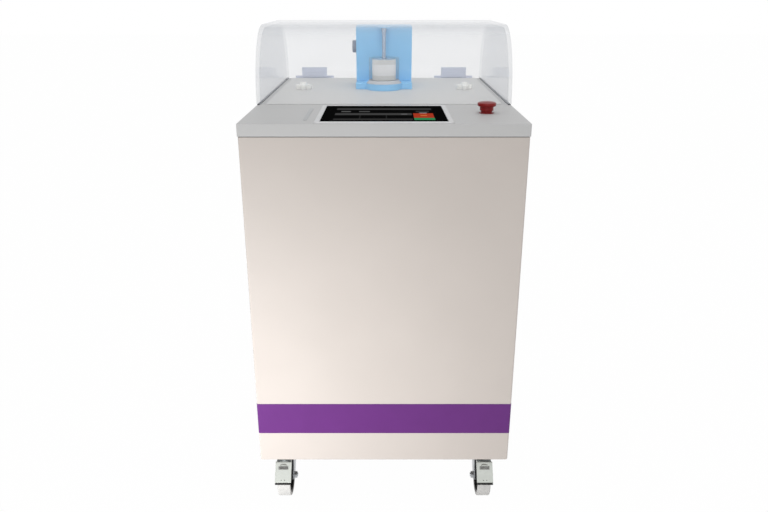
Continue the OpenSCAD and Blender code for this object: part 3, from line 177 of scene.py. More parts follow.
def lathe(bm, profile, place=(0, 0, 0), axis="Z", steps=96):
    # Turns a profile of (radius, height) in metres round an upright or lying axis; radius 0 closes it
    turned = {"Z": Matrix(), "X": Matrix.Rotation(math.radians(90), 4, "Y")}[axis]
    spot = Matrix.Translation(place) @ turned
    rings = []
    for radius, height in profile:
        count = steps if radius > 1e-7 else 1
        ring = []
        for k in range(count):
            turn = math.tau * k / steps
            spoke = Vector((radius * math.cos(turn), radius * math.sin(turn), height))
            ring.append(bm.verts.new(spot @ spoke))
        rings.append(ring)
    for lower, upper in zip(rings, rings[1:]):
        for k in range(steps):
            corners = [lower[k % len(lower)], lower[(k + 1) % len(lower)],
                       upper[(k + 1) % len(upper)], upper[k % len(upper)]]
            corners = list(dict.fromkeys(corners))
            if len(corners) > 2:
                bm.faces.new(corners)


def newGroup(name, sockets):
    # A geometry-node group with a geometry in, named inputs with their start values, and a geometry out
    tree = bpy.data.node_groups.new(name, "GeometryNodeTree")
    tree.interface.new_socket("Geometry", in_out="INPUT", socket_type="NodeSocketGeometry")
    tree.interface.new_socket("Geometry", in_out="OUTPUT", socket_type="NodeSocketGeometry")
    for label, (kind, value) in sockets.items():
        socket = tree.interface.new_socket(label, in_out="INPUT", socket_type="NodeSocket" + kind)
        socket.default_value = value
    return tree, addNode(tree, "NodeGroupInput")


def closeGroup(tree, geometry, material):
    real = addNode(tree, "GeometryNodeRealizeInstances", {"Geometry": geometry})
    painted = addNode(tree, "GeometryNodeSetMaterial", {
        "Geometry": real.outputs["Geometry"], "Material": material})
    addNode(tree, "NodeGroupOutput", {"Geometry": painted.outputs["Geometry"]})


def grownPiece(name, points, tree, values, material, body, replaces=()):
    # Runs a geometry-node group over a few points and keeps what it grew as a plain mesh
    mesh = bpy.data.meshes.new(name)
    mesh.from_pydata([tuple(p) for p in points], [], [])
    piece = bpy.data.objects.new(name, mesh)
    bpy.context.scene.collection.objects.link(piece)
    grow = piece.modifiers.new("grow", "NODES")
    grow.node_group = tree
    for item in tree.interface.items_tree:
        if item.in_out == "INPUT" and item.name in values:
            grow[item.identifier] = values[item.name]
    applyModifiers(piece)
    bm = bmesh.new()
    bm.from_mesh(piece.data)
    bmesh.ops.recalc_face_normals(bm, faces=bm.faces)
    smoothByAngle(bm, 35)
    bm.to_mesh(piece.data)
    bm.free()
    return placePiece(piece, material, body, replaces)


def nodeBody(node):
    return next(b for b, names in frame["record"]["behaviour"]["bodies"].items() if node in names)


# Camera: the photograph's, solved from the cabinet's edges

view = {
    "place": (0.0, -1.847, 1.192),
    "pitchDown": 20.4,     # degrees
    "lens": 33.4,          # mm, on a 36 mm sensor
}


def makeCamera():
    camera = bpy.data.cameras.new("camera")
    camera.lens = view["lens"]
    camera.sensor_width = 36.0
    camera.clip_start = 0.05
    camera.clip_end = 60.0
    holder = bpy.data.objects.new("camera", camera)
    holder.location = view["place"]
    holder.rotation_euler = (math.radians(90 - view["pitchDown"]), 0, 0)
    bpy.context.scene.collection.objects.link(holder)
    bpy.context.scene.camera = holder


# Floor, world and lamps

studio = {
    "floorSize": 40.0,
    "floorDrop": 0.2,          # mm below the wheels
    "floorColour": "#f4f4f3",
    "floorGlow": 0.985,        # share of plain white that the camera sees; the rest is the lit paper
    "worldColour": "#ffffff",
    "worldStrength": 0.60,
    "lamps": [
        # name, place, aim, size, watts, spread in degrees
        ("overhead", (0.2, -0.2, 3.6), (0, 0, 0.9), (3.0, 2.4), 17.0, 180),
        ("front", (0.0, -3.8, 1.6), (0, 0, 0.6), (2.4, 1.8), 18.0, 180),
        ("low", (-1.1, -1.9, 0.20), (-0.42, -0.4, 0.20), (0.6, 0.5), 3.5, 54),
        ("station", (0, -0.9, 1.75), (0, 0.16, 1.02), (0.4, 0.3), 0.1, 38),
    ],
}


def whiteToEyes(tree):
    # 1 for rays from the camera, through clear plastic and in reflections, 0 for the light itself
    path = addNode(tree, "ShaderNodeLightPath")
    seen = addNode(tree, "ShaderNodeMath", {
        0: path.outputs["Is Camera Ray"], 1: path.outputs["Is Transmission Ray"]}, operation="MAXIMUM")
    return addNode(tree, "ShaderNodeMath", {
        0: seen.outputs[0], 1: path.outputs["Is Glossy Ray"]}, operation="MAXIMUM")


def floorMaterial():
    # Matt studio paper that washes out to white in the picture and keeps a faint shadow under the wheels
    material, tree = newMaterial("studioPaper")
    coords = addNode(tree, "ShaderNodeTexCoord")
    fibre = addNode(tree, "ShaderNodeTexNoise", {
        "Vector": coords.outputs["Object"], "Scale": perMetre(3), "Detail": 3.0})
    bump = addNode(tree, "ShaderNodeBump", {
        "Height": fibre.outputs["Fac"], "Strength": 0.05, "Distance": 0.1 * mm})
    paper = addNode(tree, "ShaderNodeBsdfPrincipled", {
        "Base Color": linear(studio["floorColour"]), "Roughness": 0.85, "Specular IOR Level": 0.2,
        "Normal": bump.outputs["Normal"]})
    glow = addNode(tree, "ShaderNodeEmission", {"Color": (1, 1, 1, 1), "Strength": 1.0})
    share = addNode(tree, "ShaderNodeMath", {
        0: whiteToEyes(tree).outputs[0], 1: studio["floorGlow"]}, operation="MULTIPLY")
    finishMaterial(tree, addNode(tree, "ShaderNodeMixShader", {
        "Fac": share.outputs[0], 1: paper.outputs["BSDF"], 2: glow.outputs["Emission"]}))
    return material


def makeStudio():
    scene = bpy.context.scene
    scene.view_settings.view_transform = "Standard"
    bm = bmesh.new()
    half = studio["floorSize"] / 2
    corners = ((-half, -half), (half, -half), (half, half), (-half, half))
    bm.faces.new([bm.verts.new((x, y, -studio["floorDrop"] * mm)) for x, y in corners])
    mesh = bpy.data.meshes.new("floor")
    bm.to_mesh(mesh)
    bm.free()
    floor = bpy.data.objects.new("floor", mesh)
    scene.collection.objects.link(floor)
    mesh.materials.append(floorMaterial())

    world = bpy.data.worlds.new("studio")
    scene.world = world
    world.use_nodes = True
    tree = world.node_tree
    tree.nodes.clear()
    strength = addNode(tree, "ShaderNodeMapRange", {
        "Value": whiteToEyes(tree).outputs[0], "To Min": studio["worldStrength"], "To Max": 1.0})
    sky = addNode(tree, "ShaderNodeBackground", {
        "Color": linear(studio["worldColour"]), "Strength": strength.outputs["Result"]})
    addNode(tree, "ShaderNodeOutputWorld", {"Surface": sky.outputs["Background"]})

    for name, place, aim, size, watts, spread in studio["lamps"]:
        lamp = bpy.data.lights.new(name, "AREA")
        lamp.spread = math.radians(spread)
        lamp.shape = "RECTANGLE"
        lamp.size, lamp.size_y = size
        lamp.energy = watts
        holder = bpy.data.objects.new(name, lamp)
        holder.location = place
        holder.rotation_euler = (Vector(aim) - Vector(place)).to_track_quat("-Z", "Y").to_euler()
        scene.collection.objects.link(holder)
    print("stage: studio")


# Materials, each named for what the real one is

noiseSpan = {"From Min": 0.3, "From Max": 0.7}  # most of a noise texture's values lie in it

def powderCoat(name, colour, roughness=0.45, shine=0.3):
    # Epoxy powder on sheet steel, stoved: satin, even, with a fine orange peel in its reflections
    material, tree = newMaterial(name)
    coords = addNode(tree, "ShaderNodeTexCoord")
    peel = addNode(tree, "ShaderNodeTexNoise", {
        "Vector": coords.outputs["Object"], "Scale": perMetre(2.4), "Detail": 2.0})
    cloud = addNode(tree, "ShaderNodeTexNoise", {
        "Vector": coords.outputs["Object"], "Scale": perMetre(160), "Detail": 2.0})
    tone = addNode(tree, "ShaderNodeMapRange", {
        "Value": cloud.outputs["Fac"], **noiseSpan, "To Min": 0.985, "To Max": 1.015})
    shade = addNode(tree, "ShaderNodeHueSaturation", {
        "Value": tone.outputs["Result"], "Color": linear(colour)})
    gloss = addNode(tree, "ShaderNodeMapRange", {
        "Value": cloud.outputs["Fac"], **noiseSpan, "To Min": roughness - 0.03, "To Max": roughness + 0.03})
    bump = addNode(tree, "ShaderNodeBump", {
        "Height": peel.outputs["Fac"], "Strength": 0.12, "Distance": 0.05 * mm})
    shader = addNode(tree, "ShaderNodeBsdfPrincipled", {
        "Base Color": shade.outputs["Color"], "Roughness": gloss.outputs["Result"], "IOR": 1.5,
        "Specular IOR Level": shine, "Normal": bump.outputs["Normal"]})
    finishMaterial(tree, shader)
    return material


def mouldedPlastic(name, colour, roughness=0.45, grain=0.9, depth=0.03, **sockets):
    # Injection-moulded plastic: the tool's spark-eroded grain, drawn a little coarse so that it shows
    material, tree = newMaterial(name)
    coords = addNode(tree, "ShaderNodeTexCoord")
    pits = addNode(tree, "ShaderNodeTexVoronoi", {
        "Vector": coords.outputs["Object"], "Scale": perMetre(grain)})
    flow = addNode(tree, "ShaderNodeTexNoise", {
        "Vector": coords.outputs["Object"], "Scale": perMetre(35), "Detail": 3.0})
    tone = addNode(tree, "ShaderNodeMapRange", {
        "Value": flow.outputs["Fac"], **noiseSpan, "To Min": 0.975, "To Max": 1.02})
    shade = addNode(tree, "ShaderNodeHueSaturation", {
        "Value": tone.outputs["Result"], "Color": linear(colour)})
    bump = addNode(tree, "ShaderNodeBump", {
        "Height": pits.outputs["Distance"], "Strength": 0.15, "Distance": depth * mm})
    shader = addNode(tree, "ShaderNodeBsdfPrincipled", {
        "Base Color": shade.outputs["Color"], "Roughness": roughness, "IOR": 1.49,
        "Normal": bump.outputs["Normal"], **sockets})
    finishMaterial(tree, shader)
    return material


def metalSkin(name, colour, roughness, streak=(1, 1, 1), grain=0.8, depth=0.01, spots=0.04):
    # Bare or plated metal: streak stretches the grain along the way it was drawn, brushed or turned
    material, tree = newMaterial(name)
    coords = addNode(tree, "ShaderNodeTexCoord")
    along = addNode(tree, "ShaderNodeMapping", {"Vector": coords.outputs["Object"], "Scale": streak})
    lines = addNode(tree, "ShaderNodeTexNoise", {
        "Vector": along.outputs["Vector"], "Scale": perMetre(grain), "Detail": 3.0})
    cloud = addNode(tree, "ShaderNodeTexNoise", {
        "Vector": coords.outputs["Object"], "Scale": perMetre(14), "Detail": 4.0})
    tone = addNode(tree, "ShaderNodeMapRange", {
        "Value": cloud.outputs["Fac"], **noiseSpan, "To Min": 1 - spots, "To Max": 1 + spots / 2})
    shade = addNode(tree, "ShaderNodeHueSaturation", {
        "Value": tone.outputs["Result"], "Color": linear(colour)})
    gloss = addNode(tree, "ShaderNodeMapRange", {
        "Value": lines.outputs["Fac"], **noiseSpan, "To Min": roughness * 0.8, "To Max": roughness * 1.2})
    bump = addNode(tree, "ShaderNodeBump", {
        "Height": lines.outputs["Fac"], "Strength": 0.2, "Distance": depth * mm})
    shader = addNode(tree, "ShaderNodeBsdfPrincipled", {
        "Base Color": shade.outputs["Color"], "Metallic": 1.0, "Roughness": gloss.outputs["Result"],
        "Normal": bump.outputs["Normal"]})
    finishMaterial(tree, shader)
    return material


def castAcrylic(name, tint, haze, rim):
    # Cast acrylic, drawn without refraction: a cool veil over what lies behind it, thicker towards its rims
    material, tree = newMaterial(name)
    coords = addNode(tree, "ShaderNodeTexCoord")
    ripple = addNode(tree, "ShaderNodeTexNoise", {
        "Vector": coords.outputs["Object"], "Scale": perMetre(90), "Detail": 1.0})
    bump = addNode(tree, "ShaderNodeBump", {
        "Height": ripple.outputs["Fac"], "Strength": 0.05, "Distance": 0.2 * mm})
    veil = addNode(tree, "ShaderNodeBsdfPrincipled", {
        "Base Color": linear(tint), "Roughness": 0.08, "IOR": 1.49, "Normal": bump.outputs["Normal"]})
    clear = addNode(tree, "ShaderNodeBsdfTransparent", {"Color": (1, 1, 1, 1)})
    slant = addNode(tree, "ShaderNodeLayerWeight", {"Blend": 0.5})
    curve = addNode(tree, "ShaderNodeMath", {0: slant.outputs["Facing"], 1: 3.0}, operation="POWER")
    share = addNode(tree, "ShaderNodeMapRange", {"Value": curve.outputs[0], "To Min": haze, "To Max": rim})
    path = addNode(tree, "ShaderNodeLightPath")  # the lamps' light passes it undimmed
    lit = addNode(tree, "ShaderNodeMath", {
        0: path.outputs["Is Shadow Ray"], 1: path.outputs["Is Diffuse Ray"]}, operation="MAXIMUM")
    kept = addNode(tree, "ShaderNodeMath", {0: 1.0, 1: lit.outputs[0]}, operation="SUBTRACT")
    veiled = addNode(tree, "ShaderNodeMath", {
        0: share.outputs["Result"], 1: kept.outputs[0]}, operation="MULTIPLY")
    finishMaterial(tree, addNode(tree, "ShaderNodeMixShader", {
        "Fac": veiled.outputs[0], 1: clear.outputs["BSDF"], 2: veil.outputs["BSDF"]}))
    return material


def screenPixels(name):
    # Lit panel behind anti-glare glass: its colours come from the plates' own paint attribute
    material, tree = newMaterial(name)
    paint = addNode(tree, "ShaderNodeAttribute", attribute_name="paint")
    shader = addNode(tree, "ShaderNodeBsdfPrincipled", {
        "Base Color": linear("#050505"), "Roughness": 0.5, "Specular IOR Level": 0.0,
        "Emission Color": paint.outputs["Color"], "Emission Strength": 1.0})
    finishMaterial(tree, shader)
    return material


def rubber(name, colour, roughness=0.7, grain=0.7):
    # Moulded rubber: matt, with fine talc-dusted texture
    material, tree = newMaterial(name)
    coords = addNode(tree, "ShaderNodeTexCoord")
    dust = addNode(tree, "ShaderNodeTexNoise", {
        "Vector": coords.outputs["Object"], "Scale": perMetre(grain), "Detail": 4.0})
    patch = addNode(tree, "ShaderNodeTexNoise", {
        "Vector": coords.outputs["Object"], "Scale": perMetre(9), "Detail": 3.0})
    tone = addNode(tree, "ShaderNodeMapRange", {
        "Value": patch.outputs["Fac"], **noiseSpan, "To Min": 0.93, "To Max": 1.05})
    shade = addNode(tree, "ShaderNodeHueSaturation", {
        "Value": tone.outputs["Result"], "Color": linear(colour)})
    bump = addNode(tree, "ShaderNodeBump", {
        "Height": dust.outputs["Fac"], "Strength": 0.3, "Distance": 0.08 * mm})
    shader = addNode(tree, "ShaderNodeBsdfPrincipled", {
        "Base Color": shade.outputs["Color"], "Roughness": roughness, "IOR": 1.52, "Specular IOR Level": 0.35,
        "Normal": bump.outputs["Normal"]})
    finishMaterial(tree, shader)
    return material


def makeMaterials():
    faintGloss, noGloss = {"Specular IOR Level": 0.3}, {"Specular IOR Level": 0.0}
    return {
        "coverPaint": powderCoat("coverPowderCoat", "#c5c5c5", 0.5, 0.15),
        # Deck plate powder coat, drawn lighter than the top cover's: the difference is painted light for the
        # brightness the deck shows under the hood
        "deckPaintWithPaintedLight": powderCoat("deckPowderCoatWithPaintedLight", "#dadad9", 0.5, 0.15),
        "panelPaint": powderCoat("panelPowderCoat", "#c9c1bb", 0.4),
        "bandFilm": mouldedPlastic("bandVinylFilm", "#622875", 0.4, 0.6, 0.01, **faintGloss),
        "frameSteel": powderCoat("framePrimer", "#787b80", 0.55),
        "bezelPlastic": mouldedPlastic("bezelAbs", "#d2d2d3", 0.4),
        "screenGlass": mouldedPlastic("screenGlass", "#0c0c0c", 0.5, 4.0, 0.002, **noGloss),
        "screenPicture": screenPixels("screenPicture"),
        "lightLens": mouldedPlastic("lensPolycarbonate", "#a6a8aa", 0.3, 1.5, 0.02),
        "blackPlastic": mouldedPlastic("blackPolyamide", "#17181a", 0.5),
        "redPlastic": mouldedPlastic("redPolycarbonate", "#820909", 0.3, 3.0, 0.01, **faintGloss),
        "sealRubber": rubber("sealRubber", "#1c1c1d"),
        "hingePlastic": mouldedPlastic("hingePolyamide", "#e4e8f6", 0.45),
        "stationBlue": mouldedPlastic("stationAbs", "#8fcdf8", 0.42),
        "collarPlastic": mouldedPlastic("collarPolycarbonate", "#c2c6cc", 0.25),
        "sleeveAcrylic": castAcrylic("sleeveAcrylicTube", "#dfe4ea", 0.04, 0.3),
        "hoodAcrylic": castAcrylic("hoodAcrylicSheet", "#b4b9c2", 0.07, 0.5),
        "electrodeSteel": metalSkin("turnedStainless", "#e6e7e6", 0.34, (1, 1, 12)),
        "rodSteel": metalSkin("groundStainless", "#a3b1c2", 0.22, (1, 1, 10)),
        "ringPtfe": mouldedPlastic("ringPtfe", "#fafbfd", 0.4, 1.5, 0.02),
        "knobWhite": mouldedPlastic("knobNylon", "#f6f6f3", 0.4),
        "pedalSteel": metalSkin("stampedZincPlate", "#b4b7b2", 0.42, (1, 1, 1), 1.2, 0.02, 0.05),
        "knobGrey": mouldedPlastic("liftKnobNylon", "#9ea0aa", 0.45),
        "zinc": metalSkin("brightZincPlate", "#b4b7ba", 0.3, (1, 1, 1), 1.2, 0.02, 0.08),
        "wheelBlack": mouldedPlastic("wheelPolypropylene", "#141414", 0.5),
        "tread": rubber("greyTread", "#c9c8c6", 0.6),
        "padRubber": rubber("pedalRubber", "#151515", 0.65),
        "canAluminium": metalSkin("capacitorAluminium", "#c4c7ca", 0.42, (1, 1, 8)),
        "sheetAluminium": metalSkin("brushedAluminium", "#cdd0d3", 0.38, (6, 1, 1)),
        "coreSteel": metalSkin("laminatedCore", "#77787c", 0.5, (1, 14, 1), 0.9, 0.05),
        "copper": metalSkin("enamelledCopper", "#b8693a", 0.35, (1, 1, 9), 1.6, 0.2),
        "board": mouldedPlastic("boardLaminate", "#1f6a3c", 0.35, 1.2, 0.03),
    }


materials = makeMaterials()
print("stage: materials,", len(materials))

# Finish of each CAD node and how far its edges are rounded, in mm; 0 keeps the CAD's own mesh.
# Nodes that a function above dressNodes remakes take the finish alone.

nodeFinish = {
    "welded_frame": ("frameSteel", 0), "bottom_pan": ("panelPaint", 0), "front_panel": ("panelPaint", 0),
    "accent_band": ("bandFilm", 0), "side_panels": ("panelPaint", 0.6), "rear_panel": ("panelPaint", 0.3),
    "top_cover": ("coverPaint", 0.3), "deck_plate": ("deckPaintWithPaintedLight", 0.6), "hmi_housing": ("bezelPlastic", 0.7),
    "hmi_glass": ("screenGlass", 0), "status_bar": ("lightLens", 0.25), "estop_body": ("blackPlastic", 0.4),
    "hood_seal": ("sealRubber", 0.4), "hinge_base_leaves": ("hingePlastic", 0.5),
    "station_base": ("stationBlue", 1.2),
    "station_column": ("stationBlue", 1.0), "chamber_collar": ("collarPlastic", 0.5),
    "chamber_sleeve": ("sleeveAcrylic", 0.6), "lower_electrode": ("electrodeSteel", 0.5),
    "chamber_ring": ("ringPtfe", 0.5), "upper_electrode": ("electrodeSteel", 0.5),
    "capacitor_bank": ("canAluminium", 1.5), "transformer_core": ("coreSteel", 0.4),
    "transformer_windings": ("copper", 4.0), "charging_supply": ("sheetAluminium", 0.8),
    "switch_stack": ("sheetAluminium", 0), "control_board": ("board", 0.3),
    "interlock_switch": ("blackPlastic", 0.8),
    "mains_inlet": ("blackPlastic", 0.5), "fan_frame": ("blackPlastic", 0.6),
    "cabinet_fasteners": ("zinc", 0.3),
    "caster_plates": ("zinc", 0.5), "hood_cover": ("hoodAcrylic", 0), "hood_cheeks": ("hoodAcrylic", 0),
    "hinge_hood_leaves": ("hingePlastic", 0.5), "estop_plunger": ("redPlastic", 0.6),
    "estop_head": ("redPlastic", 0),
    "electrode_rod": ("rodSteel", 0.3), "head_plate": ("stationBlue", 0.6),
    "lift_carriage": ("electrodeSteel", 0.3),
    "lift_knob": ("knobGrey", 0.3), "lift_shaft": ("electrodeSteel", 0.2),
    "left_clamp_knob": ("knobWhite", 1.5),
    "right_clamp_knob": ("knobWhite", 1.5), "fan_rotor": ("blackPlastic", 0),
    "mains_rocker": ("blackPlastic", 0.5),
}
for corner in ("front_left", "front_right", "rear_left", "rear_right"):
    nodeFinish[corner + "_fork"] = ("zinc", 0.4)
    nodeFinish[corner + "_hub"] = ("wheelBlack", 0.8)
    nodeFinish[corner + "_tyre"] = ("tread", 0)
for corner in ("front_left", "front_right"):
    nodeFinish[corner + "_pedal"] = ("zinc", 0.3)

made = set()  # nodes that a piece of their own replaces


# Hood: bent sheet and two cheeks, cemented to one clear shell that is open below

hood = {
    "curveShare": 0.2576,  # of the hood's depth, at the front and at the rear
    "fullness": 2.05,      # 2 is an ellipse
    "sheet": 6.0,          # mm
    "cheek": 8.0,          # mm
    "rim": 0.5,            # mm, flame-polished edge
    "steps": 48,
    "smooth": 25,          # degrees
}


def hoodOutline(lo, hi, inset):
    run = hood["curveShare"] * (hi.y - lo.y) - inset
    rise = hi.z - lo.z - inset
    power = 2 / hood["fullness"]
    arc = []
    for k in range(hood["steps"] + 1):
        turn = math.radians(90 * k / hood["steps"])
        arc.append((run * (1 - max(math.cos(turn), 0) ** power), rise * math.sin(turn) ** power))
    front = [(lo.y + inset + a, lo.z + b) for a, b in arc]
    rear = [(hi.y - inset - a, lo.z + b) for a, b in reversed(arc)]
    return front + rear


def makeHood():
    lo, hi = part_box("hood_cheeks")
    rim, cheek = hood["rim"] * mm, hood["cheek"] * mm
    bm = bmesh.new()
    sections = [(lo.x, rim), (lo.x + rim, 0), (hi.x - rim, 0), (hi.x, rim),
                (lo.x + cheek, hood["sheet"] * mm), (hi.x - cheek, hood["sheet"] * mm)]
    rings = [[bm.verts.new((x, y, z)) for y, z in hoodOutline(lo, hi, inset)] for x, inset in sections]
    for a, b in ((0, 1), (1, 2), (2, 3), (4, 5)):
        for k in range(len(rings[a]) - 1):
            bm.faces.new((rings[a][k], rings[a][k + 1], rings[b][k + 1], rings[b][k]))
    for k in (0, 3, 4, 5):
        bm.faces.new(rings[k])
    for a, b in ((1, 4), (2, 5), (0, 1), (3, 2)):  # under the cheeks
        bm.faces.new((rings[a][0], rings[b][0], rings[b][-1], rings[a][-1]))
    for k in (0, -1):  # under the front and rear walls
        bm.faces.new((rings[1][k], rings[2][k], rings[5][k], rings[4][k]))
    newPiece("hoodShell", bm, materials["hoodAcrylic"], "hood",
             ("hood_cover", "hood_cheeks"), hood["smooth"])
    made.update(("hood_cover", "hood_cheeks"))
    print("stage: hood")


# Touch screen: what it shows is a plain layout of bars and fields, with no words

screen = {
    "lift": 0.03,   # mm between stacked plates
    "plates": [
        # left, right from the middle, front, rear from the cabinet's face, all in mm, then colour and layer
        (-105.6, 105.6, 164, 186, "#3c3c3c", 1),
        (-94, -73, 133, 146, "#565656", 1), (-55, -31, 133, 146, "#4c4c4c", 1),
        (70, 99, 130, 151, "#2e2e2e", 1),
        (-105.6, 60, 92, 118, "#3e3e3e", 1), (37, 50, 99, 110, "#5c5c5c", 2),
        (63, 106, 58, 116, "#a33520", 1), (77, 93, 118, 122, "#c9c9c9", 1), (78, 92, 80, 94, "#bd6a34", 2),
        (63, 106.5, 30, 57, "#2f8050", 1),
        (-105.6, 60, 30, 48, "#323232", 1), (-52, -50, 48, 92, "#2a2a2a", 1), (4, 6, 48, 92, "#2a2a2a", 1),
    ],
}


def makeScreenPicture():
    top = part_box("hmi_glass")[1].z
    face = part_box("front_panel")[0].y
    bm = bmesh.new()
    paint = bm.loops.layers.float_color.new("paint")
    for left, right, front, rear, colour, layer in screen["plates"]:
        z = top + layer * screen["lift"] * mm
        corners = [(left, front), (right, front), (right, rear), (left, rear)]
        plate = bm.faces.new([bm.verts.new((x * mm, face + y * mm, z)) for x, y in corners])
        for loop in plate.loops:
            loop[paint] = linear(colour)
    mesh = bpy.data.meshes.new("screenPicture")
    bm.to_mesh(mesh)
    bm.free()
    picture = bpy.data.objects.new("screenPicture", mesh)
    placePiece(picture, materials["screenPicture"], "cabinet")
    print("stage: screen")


# Stop button: moulded mushroom head, and the fixed collar that is red above the deck

stopButton = {
    "edge": 2.6,      # mm, rim's radius
    "dome": 3.6,      # mm, height of the domed top
    "hollow": 1.0,    # mm, how far the underside is dished
    "bodyEdge": 0.4,  # mm, rounding of the fixed collar
}


def makeStopButton():
    lo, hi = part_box("estop_head")
    radius, edge, dome = (hi.x - lo.x) / 2, stopButton["edge"] * mm, stopButton["dome"] * mm
    height = hi.z - lo.z
    profile = [(0, stopButton["hollow"] * mm), (radius - 2 * edge, stopButton["hollow"] * mm)]
    for degrees in range(-90, 1, 10):  # the rim
        turn = math.radians(degrees)
        profile.append((radius - edge + edge * math.cos(turn), edge + edge * math.sin(turn)))
    for degrees in range(0, 91, 5):    # the domed top
        turn = math.radians(degrees)
        profile.append((radius * math.cos(turn), height - dome + dome * math.sin(turn)))
    profile[-1] = (0, height)
    bm = bmesh.new()
    lathe(bm, profile, ((lo.x + hi.x) / 2, (lo.y + hi.y) / 2, lo.z))
    newPiece("stopHead", bm, materials["redPlastic"], "stop_head", ("estop_head",), 40)

    body = placePiece(softenedCopy("estop_body", stopButton["bodyEdge"]), materials["blackPlastic"],
                      "cabinet", ("estop_body",))
    body.data.materials.append(materials["redPlastic"])
    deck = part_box("top_cover")[1].z
    for face in body.data.polygons:
        face.material_index = int(face.center.z > deck - 0.1 * mm)
    made.update(("estop_head", "estop_body"))
    print("stage: stop button")


# Star knobs: four round lobes run into a hub with a domed cap

starKnob = {
    "lobe": 7.5,       # mm, radius of a lobe
    "valley": 8.8,     # mm, distance from the axis between two lobes
    "lobeShare": 28,   # degrees either side of a lobe's middle that follow its circle
    "steps": 144,
    "lobeHeight": 12.0, "edge": 2.2, "footEdge": 0.8, "footGap": 0.3,    # mm
    "hub": 9.0, "sunk": 0.5, "flare": 1.2, "flareHeight": 0.8,           # mm
    "capShoulder": ((0, 2.2), (0.5, 1.2), (1.6, 0.6)), "crown": 0.15,    # mm, inwards and down from the top
    "stud": 4.0, "nut": 7.0, "nutTop": 2.3, "nutEdge": 0.4,              # mm
}


def knobReach(turn, width):
    # Distance from the knob's axis to its outline, at an angle, in mm
    off = math.radians((math.degrees(turn) + 45) % 90 - 45)
    share = math.radians(starKnob["lobeShare"])
    reach, lobe = width / 2 - starKnob["lobe"], starKnob["lobe"]

    def circle(a):
        return reach * math.cos(a) + math.sqrt(max(lobe ** 2 - (reach * math.sin(a)) ** 2, 0))
    if abs(off) <= share:
        return circle(off)
    blend = (abs(off) - share) / (math.radians(45) - share)
    blend = math.sin(blend * math.pi / 2) ** 0.8
    return circle(share) * (1 - blend) + starKnob["valley"] * blend


def makeStarKnob(node, body):
    lo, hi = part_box(node)
    axis = ((lo.x + hi.x) / 2, (lo.y + hi.y) / 2)
    width = (hi.x - lo.x) / mm
    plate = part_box("deck_plate")[1].z
    foot, steps = plate + starKnob["footGap"] * mm, starKnob["steps"]
    tall, edge, low = starKnob["lobeHeight"], starKnob["edge"], starKnob["footEdge"]
    levels = [(0, low), (low, 0)]  # height and inset, in mm
    for degrees in range(0, 91, 15):
        turn = math.radians(degrees)
        levels.append((tall - edge + edge * math.sin(turn), edge * (1 - math.cos(turn))))
    bm = bmesh.new()
    rings = []
    for height, inset in levels:
        ring = []
        for k in range(steps):
            turn = math.tau * k / steps
            out = (knobReach(turn, width) - inset) * mm
            spot = (axis[0] + out * math.cos(turn), axis[1] + out * math.sin(turn), foot + height * mm)
            ring.append(bm.verts.new(spot))
        rings.append(ring)
    for lower, upper in zip(rings, rings[1:]):
        for k in range(steps):
            bm.faces.new((lower[k], lower[(k + 1) % steps], upper[(k + 1) % steps], upper[k]))
    bm.faces.new(rings[0])
    bm.faces.new(rings[-1])
    hub, top = starKnob["hub"] * mm, hi.z - foot
    base = tall * mm - starKnob["sunk"] * mm
    flare = (hub + starKnob["flare"] * mm, base)
    profile = [(0, base), flare, (hub, tall * mm + starKnob["flareHeight"] * mm)]
    profile += [(hub - inset * mm, top - drop * mm) for inset, drop in starKnob["capShoulder"]]
    profile += [(hub / 2, top - starKnob["crown"] * mm), (0, top)]
    lathe(bm, profile, (axis[0], axis[1], foot), steps=64)
    newPiece(node + ".star", bm, materials["knobWhite"], body, (node,), 45)
    bm = bmesh.new()
    stud, nut, deck = starKnob["stud"] * mm, starKnob["nut"] * mm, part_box("top_cover")[1].z
    chamfer, nutTop = starKnob["nutEdge"] * mm, deck - starKnob["nutTop"] * mm
    profile = [(0, lo.z), (nut - chamfer, lo.z), (nut, lo.z + chamfer), (nut, nutTop)]
    profile += [(stud, nutTop), (stud, foot), (0, foot)]
    lathe(bm, profile, (axis[0], axis[1], 0), steps=48)
    newPiece(node + ".stud", bm, materials["zinc"], body)
    made.add(node)


# Lift knob: a turned grip with moulded ribs, on the station's left wall

liftKnob = {
    "ribs": 20, "ribHeight": 1.0, "ribWidth": 2.0, "chamfer": 1.2,  # mm
    "dish": 0.6, "dishRing": 0.5, "blend": 0.3,                      # mm, hollow face and eased rims
    "socket": 4.05, "socketDepth": 8.0,                              # mm
}


def ribGroup():
    # Round-topped ribs, side by side round an axis along X
    tree, given = newGroup("gripRibs", {
        "Ribs": ("Int", 20), "Radius": ("Float", 0.0155), "Length": ("Float", 0.01),
        "Width": ("Float", 0.002)})
    ring = addNode(tree, "GeometryNodeMeshCircle", {
        "Vertices": given.outputs["Ribs"], "Radius": given.outputs["Radius"]})
    lie = addNode(tree, "GeometryNodeTransform", {
        "Geometry": ring.outputs["Mesh"], "Rotation": (0, math.radians(90), 0)})
    half = addNode(tree, "ShaderNodeMath", {0: given.outputs["Width"], 1: 0.5}, operation="MULTIPLY")
    rod = addNode(tree, "GeometryNodeMeshCylinder", {
        "Vertices": 16, "Radius": half.outputs[0], "Depth": given.outputs["Length"]})
    along = addNode(tree, "GeometryNodeTransform", {
        "Geometry": rod.outputs["Mesh"], "Rotation": (0, math.radians(90), 0)})
    ribs = addNode(tree, "GeometryNodeInstanceOnPoints", {
        "Points": lie.outputs["Geometry"], "Instance": along.outputs["Geometry"]})
    at = addNode(tree, "GeometryNodeInstanceOnPoints", {
        "Points": given.outputs["Geometry"], "Instance": ribs.outputs["Instances"]})
    closeGroup(tree, at.outputs["Instances"], materials["knobGrey"])
    return tree


